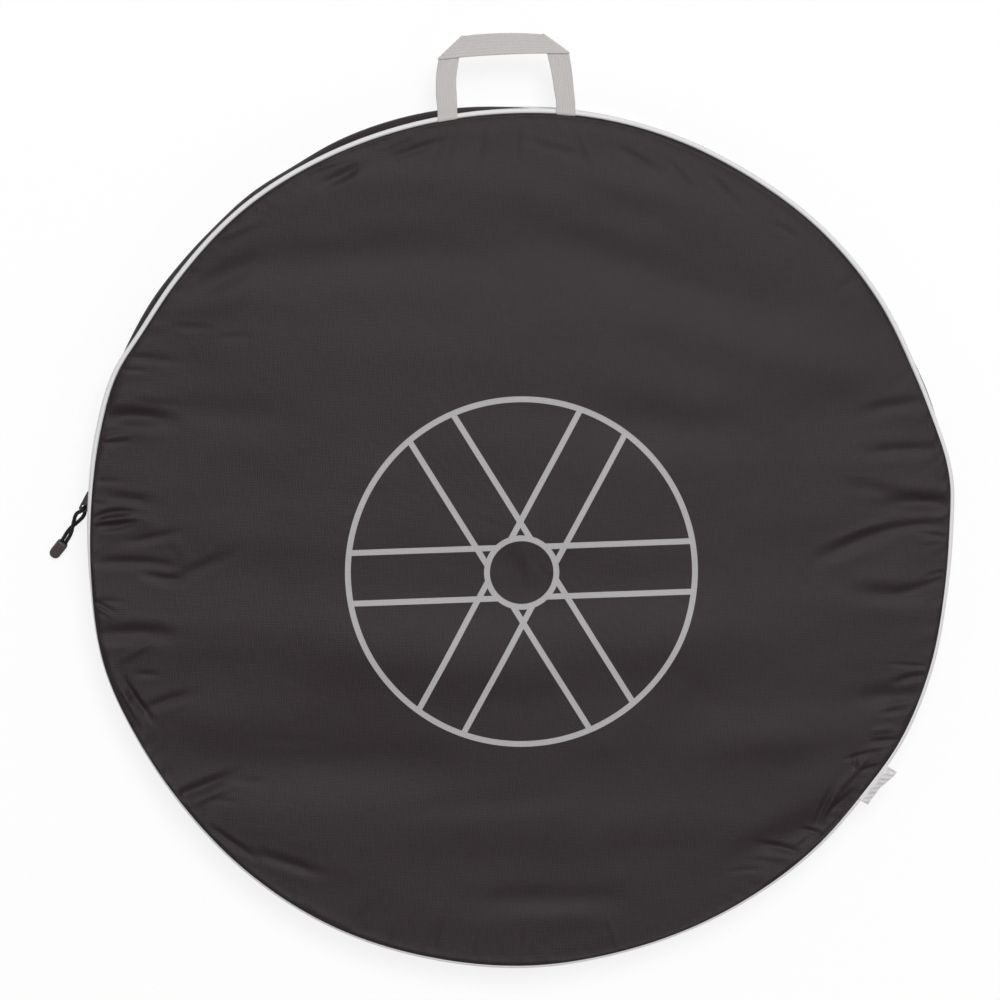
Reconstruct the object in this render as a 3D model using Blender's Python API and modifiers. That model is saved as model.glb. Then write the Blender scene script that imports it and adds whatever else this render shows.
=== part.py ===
"""Bike wheel bag: a round padded bag that lies on its back panel, with a zip round its upper half.

Metres, +Z up. The origin is the middle of the bag's underside. +Z is the front panel's outward
side, +Y points to the carrying handle and +X to the right, seen from the front.
The front panel's upper part folds back as a flap. The zip's slider runs round the gusset.
"""

import math

import bmesh
import bpy
from mathutils import Matrix, Vector

# Overall sizes of the bag.
BAG_WIDTH = 0.750
GUSSET_DEPTH = 0.0565
PIPING_DIAMETER = 0.005
PIPING_LIFT = 0.001

# Cloth, foam and the gap that touching pieces keep.
OUTER_CLOTH = 0.0008
FOAM_THICKNESS = 0.005
LINING_CLOTH = 0.0006
GUSSET_CLOTH = 0.0012
TAPE_CLOTH = 0.0006
SEAT_GAP = 0.0003

# The front panel's padded rim and its crown, and the back panel's rolled rim.
PANEL_CROWN = 0.0028
RIM_PUFF = 0.0052
RIM_ROLL = 0.016
BACK_RIM_ROLL = 0.0075
BINDING_WIDTH = 0.0032
BINDING_HEIGHT = 0.0036

# The gusset: how far it is drawn in at mid-depth, and where the zip's cloth begins and ends.
GUSSET_DRAW_IN = 0.0017
STRIP_INSET = 0.007
TAPE_REACH = 0.0115

# The opening: the line across the front where the flap folds, and the zip's lower ends.
FOLD_LINE_Y = 0.074
FOLD_AXIS_LIFT = 0.004
ZIP_END_Y = 0.040
END_TAB_LENGTH = 0.016
END_TAB_OVERLAP = 0.006
END_TAB_HALF_WIDTH = 0.014

# The zip's coil rows and their stops.
COIL_SPLIT = 0.0014
COIL_REACH = 0.0035
COIL_HEIGHT = 0.0022
STOP_LENGTH = 0.0025
STOP_OVERSIZE = 0.0003

# The slider.
SLIDER_REST_Y = 0.060
SLIDER_LENGTH = 0.013
SLIDER_WIDTH = 0.0122
SLIDER_PLATE = 0.0012
SLIDER_BACK_PLATE = 0.001
SLIDER_CLEARANCE = 0.00035
SLIDER_FLANGE = 0.0011
SLIDER_EDGE = 0.0003
DIVIDER_LENGTH = 0.005
BRIDGE_LENGTH = 0.0094
BRIDGE_WIDTH = 0.0022
BRIDGE_WALL = 0.0012
JOIN_OVERLAP = 0.0002

# The puller: ring, flat tab, doubled cord and moulded grip.
RING_WIRE = 0.0015
RING_LENGTH = 0.008
RING_HALF_WIDTH = 0.003
RING_CORNER = 0.0014
RING_TILT = math.radians(12)
TAB_HOLE_SPACING = 0.0122
TAB_NEAR_WIDTH = 0.0062
TAB_FAR_WIDTH = 0.008
TAB_THICKNESS = 0.0015
TAB_NEAR_MARGIN = 0.0032
TAB_FAR_MARGIN = 0.001
RING_HOLE = 0.0032
CORD_HOLE_WIDTH = 0.0046
CORD_HOLE_LENGTH = 0.0040
TAB_TILT = math.radians(17)
TAB_DROOP = math.radians(20)
CORD_DIAMETER = 0.0029
CORD_TILT = math.radians(23.5)
CORD_DROOP = math.radians(24)
CORD_STEP = 0.0025
GRIP_LENGTH = 0.0185
GRIP_WIDTH = 0.0102
GRIP_THICKNESS = 0.0078
GRIP_EDGE = 0.0016
GRIP_TILT = math.radians(28)

# The carrying handle of webbing, measured from the line where it is sewn in.
WEBBING_WIDTH = 0.0176
WEBBING_THICKNESS = 0.0014
HANDLE_HEIGHT = 0.0716
HANDLE_FOOT_SPACING = 0.1032
HANDLE_TOP_WIDTH = 0.1132
HANDLE_CORNER_WIDTH = 0.0686
HANDLE_BOW = 0.0015
HANDLE_LIFT = 0.0006
HANDLE_HEEL = 0.0006
WEBBING_FOLD_OVERLAP = 0.0001

# The small side label sewn under the piping.
LABEL_LENGTH = 0.038
LABEL_REACH = 0.014
LABEL_THICKNESS = 0.0006
LABEL_DIRECTION = math.radians(-36.3)

# How finely round shapes are cut, and the distance under which points are merged.
SEGMENTS = 64
ZIP_SEGMENTS = SEGMENTS * 2
PIPING_SIDES = 6
HOLE_SIDES = 16
MERGE = 0.000001

# Heights and radii worked out from the sizes above.
BEAD_RADIUS = PIPING_DIAMETER / 2
SEAM_RADIUS = BAG_WIDTH / 2 - BEAD_RADIUS
BACK_SEAM_Z = PIPING_LIFT + BEAD_RADIUS
FRONT_SEAM_Z = BACK_SEAM_Z + GUSSET_DEPTH
ZIP_Z = (BACK_SEAM_Z + FRONT_SEAM_Z) / 2
PANEL_RADIUS = SEAM_RADIUS - BEAD_RADIUS - SEAT_GAP
FOAM_RADIUS = PANEL_RADIUS - RIM_ROLL / 2
GUSSET_SEAM_RADIUS = SEAM_RADIUS - BEAD_RADIUS + GUSSET_CLOTH
GUSSET_HALF = GUSSET_DEPTH / 2 - BEAD_RADIUS - SEAT_GAP
TAPE_RADIUS = GUSSET_SEAM_RADIUS - GUSSET_DRAW_IN - GUSSET_CLOTH - SEAT_GAP
COIL_TOP = SEAT_GAP + COIL_HEIGHT
FOLD_AXIS_Z = FRONT_SEAM_Z + RIM_PUFF + PANEL_CROWN + FOLD_AXIS_LIFT
CUT_REACH = BAG_WIDTH

# Colours as (red, green, blue, roughness, metallic).
BLACK_CLOTH = (0.040, 0.033, 0.036, 0.62, 0.0)
LINING_BLACK = (0.030, 0.028, 0.030, 0.80, 0.0)
GREY_FOAM = (0.20, 0.20, 0.21, 0.95, 0.0)
PALE_PIPING = (0.72, 0.76, 0.74, 0.45, 0.0)
PALE_WEBBING = (0.53, 0.50, 0.49, 0.75, 0.0)
ZIP_BLACK = (0.020, 0.018, 0.020, 0.60, 0.0)
COIL_BLACK = (0.025, 0.023, 0.025, 0.35, 0.0)
ENAMEL = (0.022, 0.022, 0.024, 0.30, 0.6)
CORD_BLACK = (0.018, 0.016, 0.016, 0.70, 0.0)
GRIP_GREY = (0.085, 0.070, 0.068, 0.55, 0.0)
LABEL_GREY = (0.45, 0.45, 0.44, 0.50, 0.0)


# Clearing the scene, collections and materials.

for old in list(bpy.data.objects):
    bpy.data.objects.remove(old, do_unlink=True)


def new_collection(name):
    collection = bpy.data.collections.new(name)
    bpy.context.scene.collection.children.link(collection)
    return collection


PARTS = new_collection("bike_wheel_bag")
CUTTERS = new_collection("cutters")


def paint(obj, look):
    """Gives an object a material of its own."""
    red, green, blue, roughness, metallic = look
    material = bpy.data.materials.new(obj.name + "_finish")
    material.use_nodes = True
    shader = material.node_tree.nodes["Principled BSDF"]
    shader.inputs["Base Color"].default_value = (red, green, blue, 1.0)
    shader.inputs["Roughness"].default_value = roughness
    shader.inputs["Metallic"].default_value = metallic
    obj.data.materials.clear()
    obj.data.materials.append(material)


def add_mesh_object(name, mesh, collection=PARTS):
    obj = bpy.data.objects.new(name, mesh)
    collection.objects.link(obj)
    if collection is CUTTERS:
        obj.hide_render = True
        obj.display_type = "WIRE"
    return obj


# Joints: an empty stands on each joint's axis, with its own Z along the axis.

def joint_empty(name, place, axis, parent=None):
    empty = bpy.data.objects.new(name, None)
    empty.empty_display_size = BEAD_RADIUS
    PARTS.objects.link(empty)
    turn = Vector((0, 0, 1)).rotation_difference(Vector(axis)).to_matrix().to_4x4()
    world = Matrix.Translation(place) @ turn
    if parent:
        empty.parent = parent
        empty.matrix_parent_inverse = parent.matrix_world.inverted()
    empty.matrix_world = world
    bpy.context.view_layer.update()
    return empty


def carry(obj, empty, look, smooth=True):
    """Parents a finished part to its body's empty, keeping its place, and paints it."""
    bpy.context.view_layer.update()
    world = obj.matrix_world.copy()
    obj.parent = empty
    obj.matrix_parent_inverse = empty.matrix_world.inverted()
    obj.matrix_world = world
    if smooth:
        obj.data.shade_smooth()
    paint(obj, look)


# Turned sheets and rings.

def turned(name, profile, closed=False, thickness=0.0, steps=SEGMENTS):
    """Turns a profile of (radius, height) points round Z. It runs down the outer side.

    An open profile with a thickness becomes a sheet, thickened inwards.
    """
    mesh = bpy.data.meshes.new(name)
    count = len(profile)
    edges = [(i, i + 1) for i in range(count - 1)]
    if closed:
        edges.append((count - 1, 0))
    mesh.from_pydata([(r, 0, z) for r, z in profile], edges, [])
    obj = add_mesh_object(name, mesh)
    screw = obj.modifiers.new("turn", "SCREW")
    screw.axis = "Z"
    screw.angle = math.tau
    screw.steps = steps
    screw.render_steps = steps
    screw.use_merge_vertices = True
    screw.merge_threshold = MERGE
    screw.use_smooth_shade = True
    if thickness:
        thicken = obj.modifiers.new("thickness", "SOLIDIFY")
        thicken.thickness = thickness
        thicken.offset = -1
        thicken.use_even_offset = True
        thicken.use_rim = True
    return obj


def bead_ring(name, height):
    """A full ring of piping at one seam."""
    bpy.ops.mesh.primitive_torus_add(
        major_segments=SEGMENTS,
        minor_segments=PIPING_SIDES,
        major_radius=SEAM_RADIUS,
        minor_radius=BEAD_RADIUS,
        location=(0, 0, height),
    )
    obj = bpy.context.object
    obj.name = name
    obj.data.name = name
    for collection in list(obj.users_collection):
        collection.objects.unlink(obj)
    PARTS.objects.link(obj)
    return obj


def box_cutter(name, low, high):
    mesh = bpy.data.meshes.new(name)
    shape = bmesh.new()
    bmesh.ops.create_cube(shape, size=1)
    size = Vector(high) - Vector(low)
    middle = (Vector(high) + Vector(low)) / 2
    bmesh.ops.scale(shape, vec=size, verts=shape.verts)
    bmesh.ops.translate(shape, vec=middle, verts=shape.verts)
    shape.to_mesh(mesh)
    shape.free()
    return add_mesh_object(name, mesh, CUTTERS)


def boolean(obj, other, operation="DIFFERENCE"):
    modifier = obj.modifiers.new(operation.lower() + "_" + other.name, "BOOLEAN")
    modifier.operation = operation
    modifier.solver = "EXACT"
    modifier.object = other


def band_cutter(name, low_y, high_y, low_x=-CUT_REACH, high_x=CUT_REACH):
    low = (low_x, low_y, -CUT_REACH)
    high = (high_x, high_y, CUT_REACH)
    return box_cutter(name, low, high)


BELOW_FOLD = band_cutter("below_fold_cutter", -CUT_REACH, FOLD_LINE_Y + SEAT_GAP / 2)
ABOVE_FOLD = band_cutter("above_fold_cutter", FOLD_LINE_Y - SEAT_GAP / 2, CUT_REACH)
BELOW_ZIP_END = band_cutter("below_zip_end_cutter", -CUT_REACH, ZIP_END_Y + SEAT_GAP / 2)
ABOVE_ZIP_END = band_cutter("above_zip_end_cutter", ZIP_END_Y - SEAT_GAP / 2, CUT_REACH)
LEFT_SIDE = band_cutter("left_side_cutter", -CUT_REACH, CUT_REACH, high_x=0)
RIGHT_SIDE = band_cutter("right_side_cutter", -CUT_REACH, CUT_REACH, low_x=0)


def zip_ring(name, profile, closed=False, thickness=0.0):
    """A turned piece of the zip, cut finely enough for the slider to run along it."""
    return turned(name, profile, closed, thickness, ZIP_SEGMENTS)


# Flat outlines, made from filled curves and turned into meshes.

def outline_plate(name, outline, low, high, holes=(), collection=CUTTERS):
    """A flat plate of the outline's (x, y) points, from height low to height high."""
    curve = bpy.data.curves.new(name + "_outline", "CURVE")
    curve.dimensions = "2D"
    curve.fill_mode = "BOTH"
    curve.extrude = (high - low) / 2
    for loop in (outline, *holes):
        spline = curve.splines.new("POLY")
        spline.points.add(len(loop) - 1)
        for point, (x, y) in zip(spline.points, loop):
            point.co = (x, y, 0, 1)
        spline.use_cyclic_u = True
    guide = bpy.data.objects.new(name + "_outline", curve)
    guide.location = (0, 0, (low + high) / 2)
    return mesh_of_curve(name, guide, collection)


def mesh_of_curve(name, guide, collection):
    """Replaces a curve object by a welded mesh object in the same place."""
    bpy.context.scene.collection.objects.link(guide)
    bpy.context.view_layer.update()
    graph = bpy.context.evaluated_depsgraph_get()
    mesh = bpy.data.meshes.new_from_object(guide.evaluated_get(graph))
    mesh.name = name
    mesh.transform(guide.matrix_world)
    shape = bmesh.new()
    shape.from_mesh(mesh)
    bmesh.ops.remove_doubles(shape, verts=shape.verts, dist=MERGE)
    bmesh.ops.recalc_face_normals(shape, faces=shape.faces)
    shape.to_mesh(mesh)
    shape.free()
    bpy.data.objects.remove(guide, do_unlink=True)
    return add_mesh_object(name, mesh, collection)


def round_hole(x, y, width, length=None):
    """A circle or an ellipse of points, clockwise, for a hole."""
    length = length or width
    turns = [-math.tau * i / HOLE_SIDES for i in range(HOLE_SIDES)]
    return [(x + length / 2 * math.cos(a), y + width / 2 * math.sin(a)) for a in turns]


def bevel(obj, width, segments=2):
    modifier = obj.modifiers.new("rounded_edges", "BEVEL")
    modifier.width = width
    modifier.segments = segments
    modifier.limit_method = "ANGLE"
    modifier.angle_limit = math.radians(40)


def tube(name, points, diameter, cyclic=False, resolution=2, collection=PARTS):
    """A round wire or cord along the points, with filled ends."""
    curve = bpy.data.curves.new(name, "CURVE")
    curve.dimensions = "3D"
    curve.bevel_depth = diameter / 2
    curve.bevel_resolution = resolution
    curve.use_fill_caps = not cyclic
    spline = curve.splines.new("POLY")
    spline.points.add(len(points) - 1)
    for point, place in zip(spline.points, points):
        point.co = (*place, 1)
    spline.use_cyclic_u = cyclic
    guide = bpy.data.objects.new(name + "_path", curve)
    return mesh_of_curve(name, guide, collection)


# The bodies' empties.

ROOT = joint_empty("bag", (0, 0, 0), (0, 0, 1))
FLAP = joint_empty("joint_flap_open", (0, FOLD_LINE_Y, FOLD_AXIS_Z), (1, 0, 0), ROOT)


# Front and back panels.

def front_height(radius):
    """Height of the front panel's outside: a crown, and a rim that rolls down to the seam."""
    into_rim = max(0.0, radius - (PANEL_RADIUS - RIM_ROLL)) / RIM_ROLL
    roll = math.sqrt(max(0.0, 1 - into_rim ** 2))
    crown = PANEL_CROWN * (1 - (radius / PANEL_RADIUS) ** 2)
    return FRONT_SEAM_Z + RIM_PUFF * roll + crown


CROWN_RADIUS_SHARES = (0, 0.62)
RIM_ROLL_SHARES = (0, 0.55, 0.85, 1)


def front_skin_profile():
    radii = [PANEL_RADIUS * share for share in CROWN_RADIUS_SHARES]
    radii += [PANEL_RADIUS - RIM_ROLL * (1 - share) for share in RIM_ROLL_SHARES]
    return [(r, front_height(r)) for r in radii]


def front_foam_profile():
    """The foam follows the skin's inside, one cloth and one gap below it."""
    drop = OUTER_CLOTH + SEAT_GAP
    radii = [PANEL_RADIUS * share for share in CROWN_RADIUS_SHARES]
    top = [(r, front_height(r) - drop) for r in radii]
    inner_rim = FOAM_RADIUS - FOAM_THICKNESS / 2
    top.append((inner_rim, front_height(inner_rim) - drop))
    rim_top = (FOAM_RADIUS, front_height(FOAM_RADIUS) - drop - FOAM_THICKNESS / 4)
    bottom = [(r, front_height(r) - drop - FOAM_THICKNESS) for r in radii[::-1]]
    rim_bottom = (FOAM_RADIUS, front_height(radii[-1]) - drop - FOAM_THICKNESS)
    return top + [rim_top, rim_bottom] + bottom


def front_lining_profile():
    drop = OUTER_CLOTH + FOAM_THICKNESS + SEAT_GAP * 2
    radii = [PANEL_RADIUS * share for share in CROWN_RADIUS_SHARES]
    profile = [(r, front_height(r) - drop) for r in radii]
    profile.append((FOAM_RADIUS, profile[-1][1]))
    return profile + [(PANEL_RADIUS, FRONT_SEAM_Z - OUTER_CLOTH - SEAT_GAP)]


def back_skin_profile():
    """From the seam down round the rolled rim, then flat along the underside to the middle."""
    points = []
    for share in RIM_ROLL_SHARES[::-1]:
        height = BACK_SEAM_Z * (1 - math.sqrt(1 - share ** 2))
        points.append((PANEL_RADIUS - BACK_RIM_ROLL * (1 - share), height))
    return points + [(0, 0)]


BACK_FOAM_BASE = OUTER_CLOTH + SEAT_GAP
BACK_LINING_BASE = BACK_FOAM_BASE + FOAM_THICKNESS + SEAT_GAP
BACK_LINING_TOP = BACK_LINING_BASE + LINING_CLOTH


def back_foam_profile():
    top = BACK_FOAM_BASE + FOAM_THICKNESS
    return [
        (0, top),
        (FOAM_RADIUS - FOAM_THICKNESS / 4, top),
        (FOAM_RADIUS, top - FOAM_THICKNESS / 4),
        (FOAM_RADIUS, BACK_FOAM_BASE),
        (0, BACK_FOAM_BASE),
    ]


def back_lining_profile():
    return [
        (0, BACK_LINING_TOP),
        (PANEL_RADIUS, BACK_LINING_TOP),
        (PANEL_RADIUS, BACK_LINING_BASE),
        (0, BACK_LINING_BASE),
    ]


def split_at_fold(base_name, make, look):
    """Makes the same turned piece twice: the flap's part and the part that stays below."""
    flap_part = make(base_name + "_flap")
    boolean(flap_part, BELOW_FOLD)
    carry(flap_part, FLAP, look)
    lower_part = make(base_name + "_lower")
    boolean(lower_part, ABOVE_FOLD)
    carry(lower_part, ROOT, look)


def make_panels():
    def skin(name):
        return turned(name, front_skin_profile(), thickness=OUTER_CLOTH)

    def foam(name):
        return turned(name, front_foam_profile())

    def lining(name):
        return turned(name, front_lining_profile(), thickness=LINING_CLOTH)

    split_at_fold("front_panel", skin, BLACK_CLOTH)
    split_at_fold("front_foam", foam, GREY_FOAM)
    split_at_fold("front_lining", lining, LINING_BLACK)
    back = turned("back_panel", back_skin_profile(), thickness=OUTER_CLOTH)
    carry(back, ROOT, BLACK_CLOTH)
    carry(turned("back_foam", back_foam_profile()), ROOT, GREY_FOAM)
    carry(turned("back_lining", back_lining_profile()), ROOT, LINING_BLACK)


# The gusset's wall.

def wall_radius(height):
    """Outer radius of the gusset's cloth, drawn in a little at mid-depth."""
    share = (height - ZIP_Z) / GUSSET_HALF
    return GUSSET_SEAM_RADIUS - GUSSET_DRAW_IN * (1 - share ** 2)


# Piping, and the binding over the seam allowance inside the bag.

def binding_profile(low, high):
    """A wedge that lies in the corner between the lining and the gusset."""
    outer = min(wall_radius(low), wall_radius(high)) - GUSSET_CLOTH - SEAT_GAP
    inner = outer - BINDING_WIDTH
    quarter = (high - low) / 4
    return [(outer, high), (outer, low), (inner, low + quarter), (inner, high - quarter)]


def make_seams():
    def front_bead(name):
        return bead_ring(name, FRONT_SEAM_Z)

    lining_underside = front_lining_profile()[-1][1] - LINING_CLOTH
    front_top = lining_underside - SEAT_GAP

    def front_binding(name):
        return turned(name, binding_profile(front_top - BINDING_HEIGHT, front_top), closed=True)

    split_at_fold("front_piping", front_bead, PALE_PIPING)
    carry(bead_ring("back_piping", BACK_SEAM_Z), ROOT, PALE_PIPING)
    split_at_fold("front_seam_binding", front_binding, LINING_BLACK)
    back_low = BACK_LINING_TOP + SEAT_GAP
    back_profile = binding_profile(back_low, back_low + BINDING_HEIGHT)
    carry(turned("back_seam_binding", back_profile, closed=True), ROOT, LINING_BLACK)


# Gusset and zip cloth.

def wall_profile(low, high, inset=0.0, rows=2):
    """Points down the outer side of a band of wall between two heights above the zip's line."""
    points = []
    for i in range(rows + 1):
        offset = high + (low - high) * i / rows
        points.append((wall_radius(ZIP_Z + offset) - inset, ZIP_Z + offset))
    return points


def split_at_fold_and_ends(base_name, make, look):
    """The flap's part, and the short ends on the bag that the slider parks on."""
    flap_part = make(base_name + "_flap")
    boolean(flap_part, BELOW_FOLD)
    carry(flap_part, FLAP, look)
    for side, other_side in (("left", RIGHT_SIDE), ("right", LEFT_SIDE)):
        end = make(base_name + "_" + side + "_end")
        boolean(end, ABOVE_FOLD)
        boolean(end, BELOW_ZIP_END)
        boolean(end, other_side)
        carry(end, ROOT, look)


def coil_profile(low, high):
    """A rounded rib, seen end on, lying on the outside of the tape."""
    base = TAPE_RADIUS + SEAT_GAP
    top = TAPE_RADIUS + COIL_TOP
    shoulder = (high - low) / 4
    return [
        (top - shoulder, ZIP_Z + high),
        (top, ZIP_Z + high - shoulder),
        (top, ZIP_Z + low + shoulder),
        (top - shoulder, ZIP_Z + low),
        (base, ZIP_Z + low),
        (base, ZIP_Z + high),
    ]


COIL_START_Y = ZIP_END_Y + END_TAB_OVERLAP + STOP_LENGTH + SEAT_GAP * 2
BELOW_COIL = band_cutter("below_coil_cutter", -CUT_REACH, COIL_START_Y)
BELOW_STOP = band_cutter("below_stop_cutter", -CUT_REACH, COIL_START_Y - STOP_LENGTH - SEAT_GAP)
ABOVE_STOP = band_cutter("above_stop_cutter", COIL_START_Y - SEAT_GAP, CUT_REACH)


def make_gusset():
    whole_wall = wall_profile(-GUSSET_HALF, GUSSET_HALF, rows=4)
    lower = turned("lower_gusset", whole_wall, thickness=GUSSET_CLOTH)
    boolean(lower, ABOVE_ZIP_END)
    carry(lower, ROOT, BLACK_CLOTH)

    def front_strip(name):
        return zip_ring(name, wall_profile(STRIP_INSET, GUSSET_HALF), thickness=GUSSET_CLOTH)

    split_at_fold_and_ends("gusset_strip_front", front_strip, BLACK_CLOTH)
    back = zip_ring("gusset_strip_back", wall_profile(-GUSSET_HALF, -STRIP_INSET), thickness=GUSSET_CLOTH)
    boolean(back, BELOW_ZIP_END)
    carry(back, ROOT, BLACK_CLOTH)


def make_zip_tapes():
    inset = GUSSET_CLOTH + SEAT_GAP
    near = COIL_SPLIT / 2

    def front_tape(name):
        return zip_ring(name, wall_profile(near, TAPE_REACH, inset, rows=1), thickness=TAPE_CLOTH)

    split_at_fold_and_ends("zip_tape_front", front_tape, ZIP_BLACK)
    back_profile = wall_profile(-TAPE_REACH, -near, inset, rows=1)
    back = zip_ring("zip_tape_back", back_profile, thickness=TAPE_CLOTH)
    boolean(back, BELOW_ZIP_END)
    carry(back, ROOT, ZIP_BLACK)


def make_coils():
    near = COIL_SPLIT / 2

    def front_coil(name):
        coil = zip_ring(name, coil_profile(near, COIL_REACH), closed=True)
        boolean(coil, BELOW_COIL)
        return coil

    split_at_fold_and_ends("zip_coil_front", front_coil, COIL_BLACK)
    back = zip_ring("zip_coil_back", coil_profile(-COIL_REACH, -near), closed=True)
    boolean(back, BELOW_COIL)
    carry(back, ROOT, COIL_BLACK)


def make_stop(name, low, high, other_side):
    """A stop crimped on the tape at the end of a coil row."""
    stop = zip_ring(name, coil_profile(low, high), closed=True)
    boolean(stop, BELOW_STOP)
    boolean(stop, ABOVE_STOP)
    boolean(stop, other_side)
    carry(stop, ROOT, ENAMEL)


def make_zip_ends():
    reach = COIL_REACH + STOP_OVERSIZE
    make_stop("zip_top_stop_front", COIL_SPLIT / 2, reach, RIGHT_SIDE)
    make_stop("zip_top_stop_back", -reach, -COIL_SPLIT / 2, RIGHT_SIDE)
    make_stop("zip_bottom_stop", -reach, reach, LEFT_SIDE)
    tab_top = ZIP_END_Y + END_TAB_OVERLAP
    below = band_cutter("below_end_tab_cutter", -CUT_REACH, tab_top - END_TAB_LENGTH)
    above = band_cutter("above_end_tab_cutter", tab_top, CUT_REACH)
    lift = -(SEAT_GAP + OUTER_CLOTH)
    for side, other_side in (("left", RIGHT_SIDE), ("right", LEFT_SIDE)):
        profile = wall_profile(-END_TAB_HALF_WIDTH, END_TAB_HALF_WIDTH, lift)
        tab = zip_ring("zip_end_tab_" + side, profile, thickness=OUTER_CLOTH)
        boolean(tab, below)
        boolean(tab, above)
        boolean(tab, other_side)
        carry(tab, ROOT, BLACK_CLOTH)


# The slider. Its own X runs along the zip, Y across it and Z outwards from the tape's face.

def slider_matrix():
    turn = math.pi - math.asin(SLIDER_REST_Y / TAPE_RADIUS)
    along = Vector((-math.sin(turn), math.cos(turn), 0))
    outward = Vector((math.cos(turn), math.sin(turn), 0))
    across = Vector((0, 0, 1))
    frame = Matrix((along, across, outward)).transposed().to_4x4()
    return Matrix.Translation(outward * TAPE_RADIUS + across * ZIP_Z) @ frame


SLIDER_FRAME = slider_matrix()
PLATE_OUTLINE_SHARES = (
    (-0.50, 0.30),
    (-0.42, 0.41),
    (0.06, 0.43),
    (0.24, 0.50),
    (0.40, 0.47),
    (0.50, 0.29),
)
DIVIDER_OUTLINE_SHARES = ((-0.5, 0.1), (-0.3, 0.5), (0.35, 0.5), (0.5, 0.2))
FLANGE_LENGTH_SHARES = (-0.46, 0.08, 0.38)
TOP_PLATE_LOW = COIL_TOP + SLIDER_CLEARANCE
TOP_PLATE_HIGH = TOP_PLATE_LOW + SLIDER_PLATE
BACK_PLATE_HIGH = -TAPE_CLOTH - SLIDER_CLEARANCE
BACK_PLATE_LOW = BACK_PLATE_HIGH - SLIDER_BACK_PLATE
BRIDGE_HOLLOW = RING_WIRE + SLIDER_CLEARANCE * 2
BRIDGE_TOP = TOP_PLATE_HIGH + BRIDGE_HOLLOW + BRIDGE_WALL


def mirrored_outline(shares, length, width):
    """A closed outline from one half, given as shares of its length and width."""
    half = [(length * a, width * b) for a, b in shares]
    return [(x, -y) for x, y in half] + half[::-1]


def bridge_outline():
    """The arch over the slider, seen from the side, with its feet sunk in the top plate."""
    half = BRIDGE_LENGTH / 2
    foot = TOP_PLATE_HIGH - JOIN_OVERLAP
    hollow_top = TOP_PLATE_HIGH + BRIDGE_HOLLOW
    shoulder = (half - BRIDGE_WALL / 4, hollow_top - BRIDGE_WALL / 2)
    outer = [(half, foot), shoulder, (half - BRIDGE_WALL, BRIDGE_TOP)]
    inner_half = half - BRIDGE_WALL
    inner = [(-inner_half, foot), (-inner_half + BRIDGE_WALL / 4, hollow_top)]
    mirrored_outer = [(-x, z) for x, z in outer[::-1]]
    mirrored_inner = [(-x, z) for x, z in inner[::-1]]
    return outer + mirrored_outer + inner + mirrored_inner


def flange_outline(side):
    """A side wall of the slider, which opens out towards the mouth."""
    inner = COIL_REACH + SLIDER_CLEARANCE
    rear, throat, mouth = (SLIDER_LENGTH * share for share in FLANGE_LENGTH_SHARES)
    flare = SLIDER_FLANGE / 2
    points = [
        (rear, inner),
        (throat, inner),
        (mouth, inner + flare),
        (mouth, inner + flare + SLIDER_FLANGE),
        (throat, inner + SLIDER_FLANGE),
        (rear, inner + SLIDER_FLANGE),
    ]
    return [(x, y * side) for x, y in points[::side]]


def make_slider(empty):
    outline = mirrored_outline(PLATE_OUTLINE_SHARES, SLIDER_LENGTH, SLIDER_WIDTH)
    body = outline_plate("slider_body", outline, TOP_PLATE_LOW, TOP_PLATE_HIGH, collection=PARTS)
    bevel(body, SLIDER_EDGE)
    back_plate = outline_plate("slider_back_plate", outline, BACK_PLATE_LOW, BACK_PLATE_HIGH)
    bevel(back_plate, SLIDER_EDGE)
    divider_width = COIL_SPLIT - SLIDER_CLEARANCE * 2
    divider_shape = mirrored_outline(DIVIDER_OUTLINE_SHARES, DIVIDER_LENGTH, divider_width)
    shift = SLIDER_LENGTH / 4
    divider = outline_plate(
        "slider_divider",
        [(x + shift, y) for x, y in divider_shape],
        BACK_PLATE_HIGH - JOIN_OVERLAP,
        TOP_PLATE_LOW + JOIN_OVERLAP,
    )
    pieces = [divider, back_plate]
    for side, side_name in ((1, "front"), (-1, "back")):
        flange = outline_plate(
            "slider_flange_" + side_name,
            flange_outline(side),
            SLIDER_CLEARANCE,
            TOP_PLATE_LOW + JOIN_OVERLAP,
        )
        pieces.append(flange)
    bridge = outline_plate("slider_bridge", bridge_outline(), -BRIDGE_WIDTH / 2, BRIDGE_WIDTH / 2)
    bridge.data.transform(Matrix.Rotation(math.radians(90), 4, "X"))
    pieces.append(bridge)
    for piece in pieces:
        piece.matrix_world = SLIDER_FRAME
        boolean(body, piece, "UNION")
    body.matrix_world = SLIDER_FRAME
    carry(body, empty, ENAMEL, smooth=False)


# The puller, each piece in a frame with X along it, Y sideways and Z up.

def puller_frame(place, tilt, droop):
    """A frame at a place in the slider's own frame. Tilt leans it outwards and droop lowers it."""
    along = Vector((math.cos(tilt) * math.cos(droop), -math.sin(droop), math.sin(tilt) * math.cos(droop)))
    sideways = Vector((math.sin(tilt), 0, -math.cos(tilt)))
    up = along.cross(sideways)
    frame = Matrix((along, sideways, up)).transposed().to_4x4()
    return SLIDER_FRAME @ Matrix.Translation(place) @ frame


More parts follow.
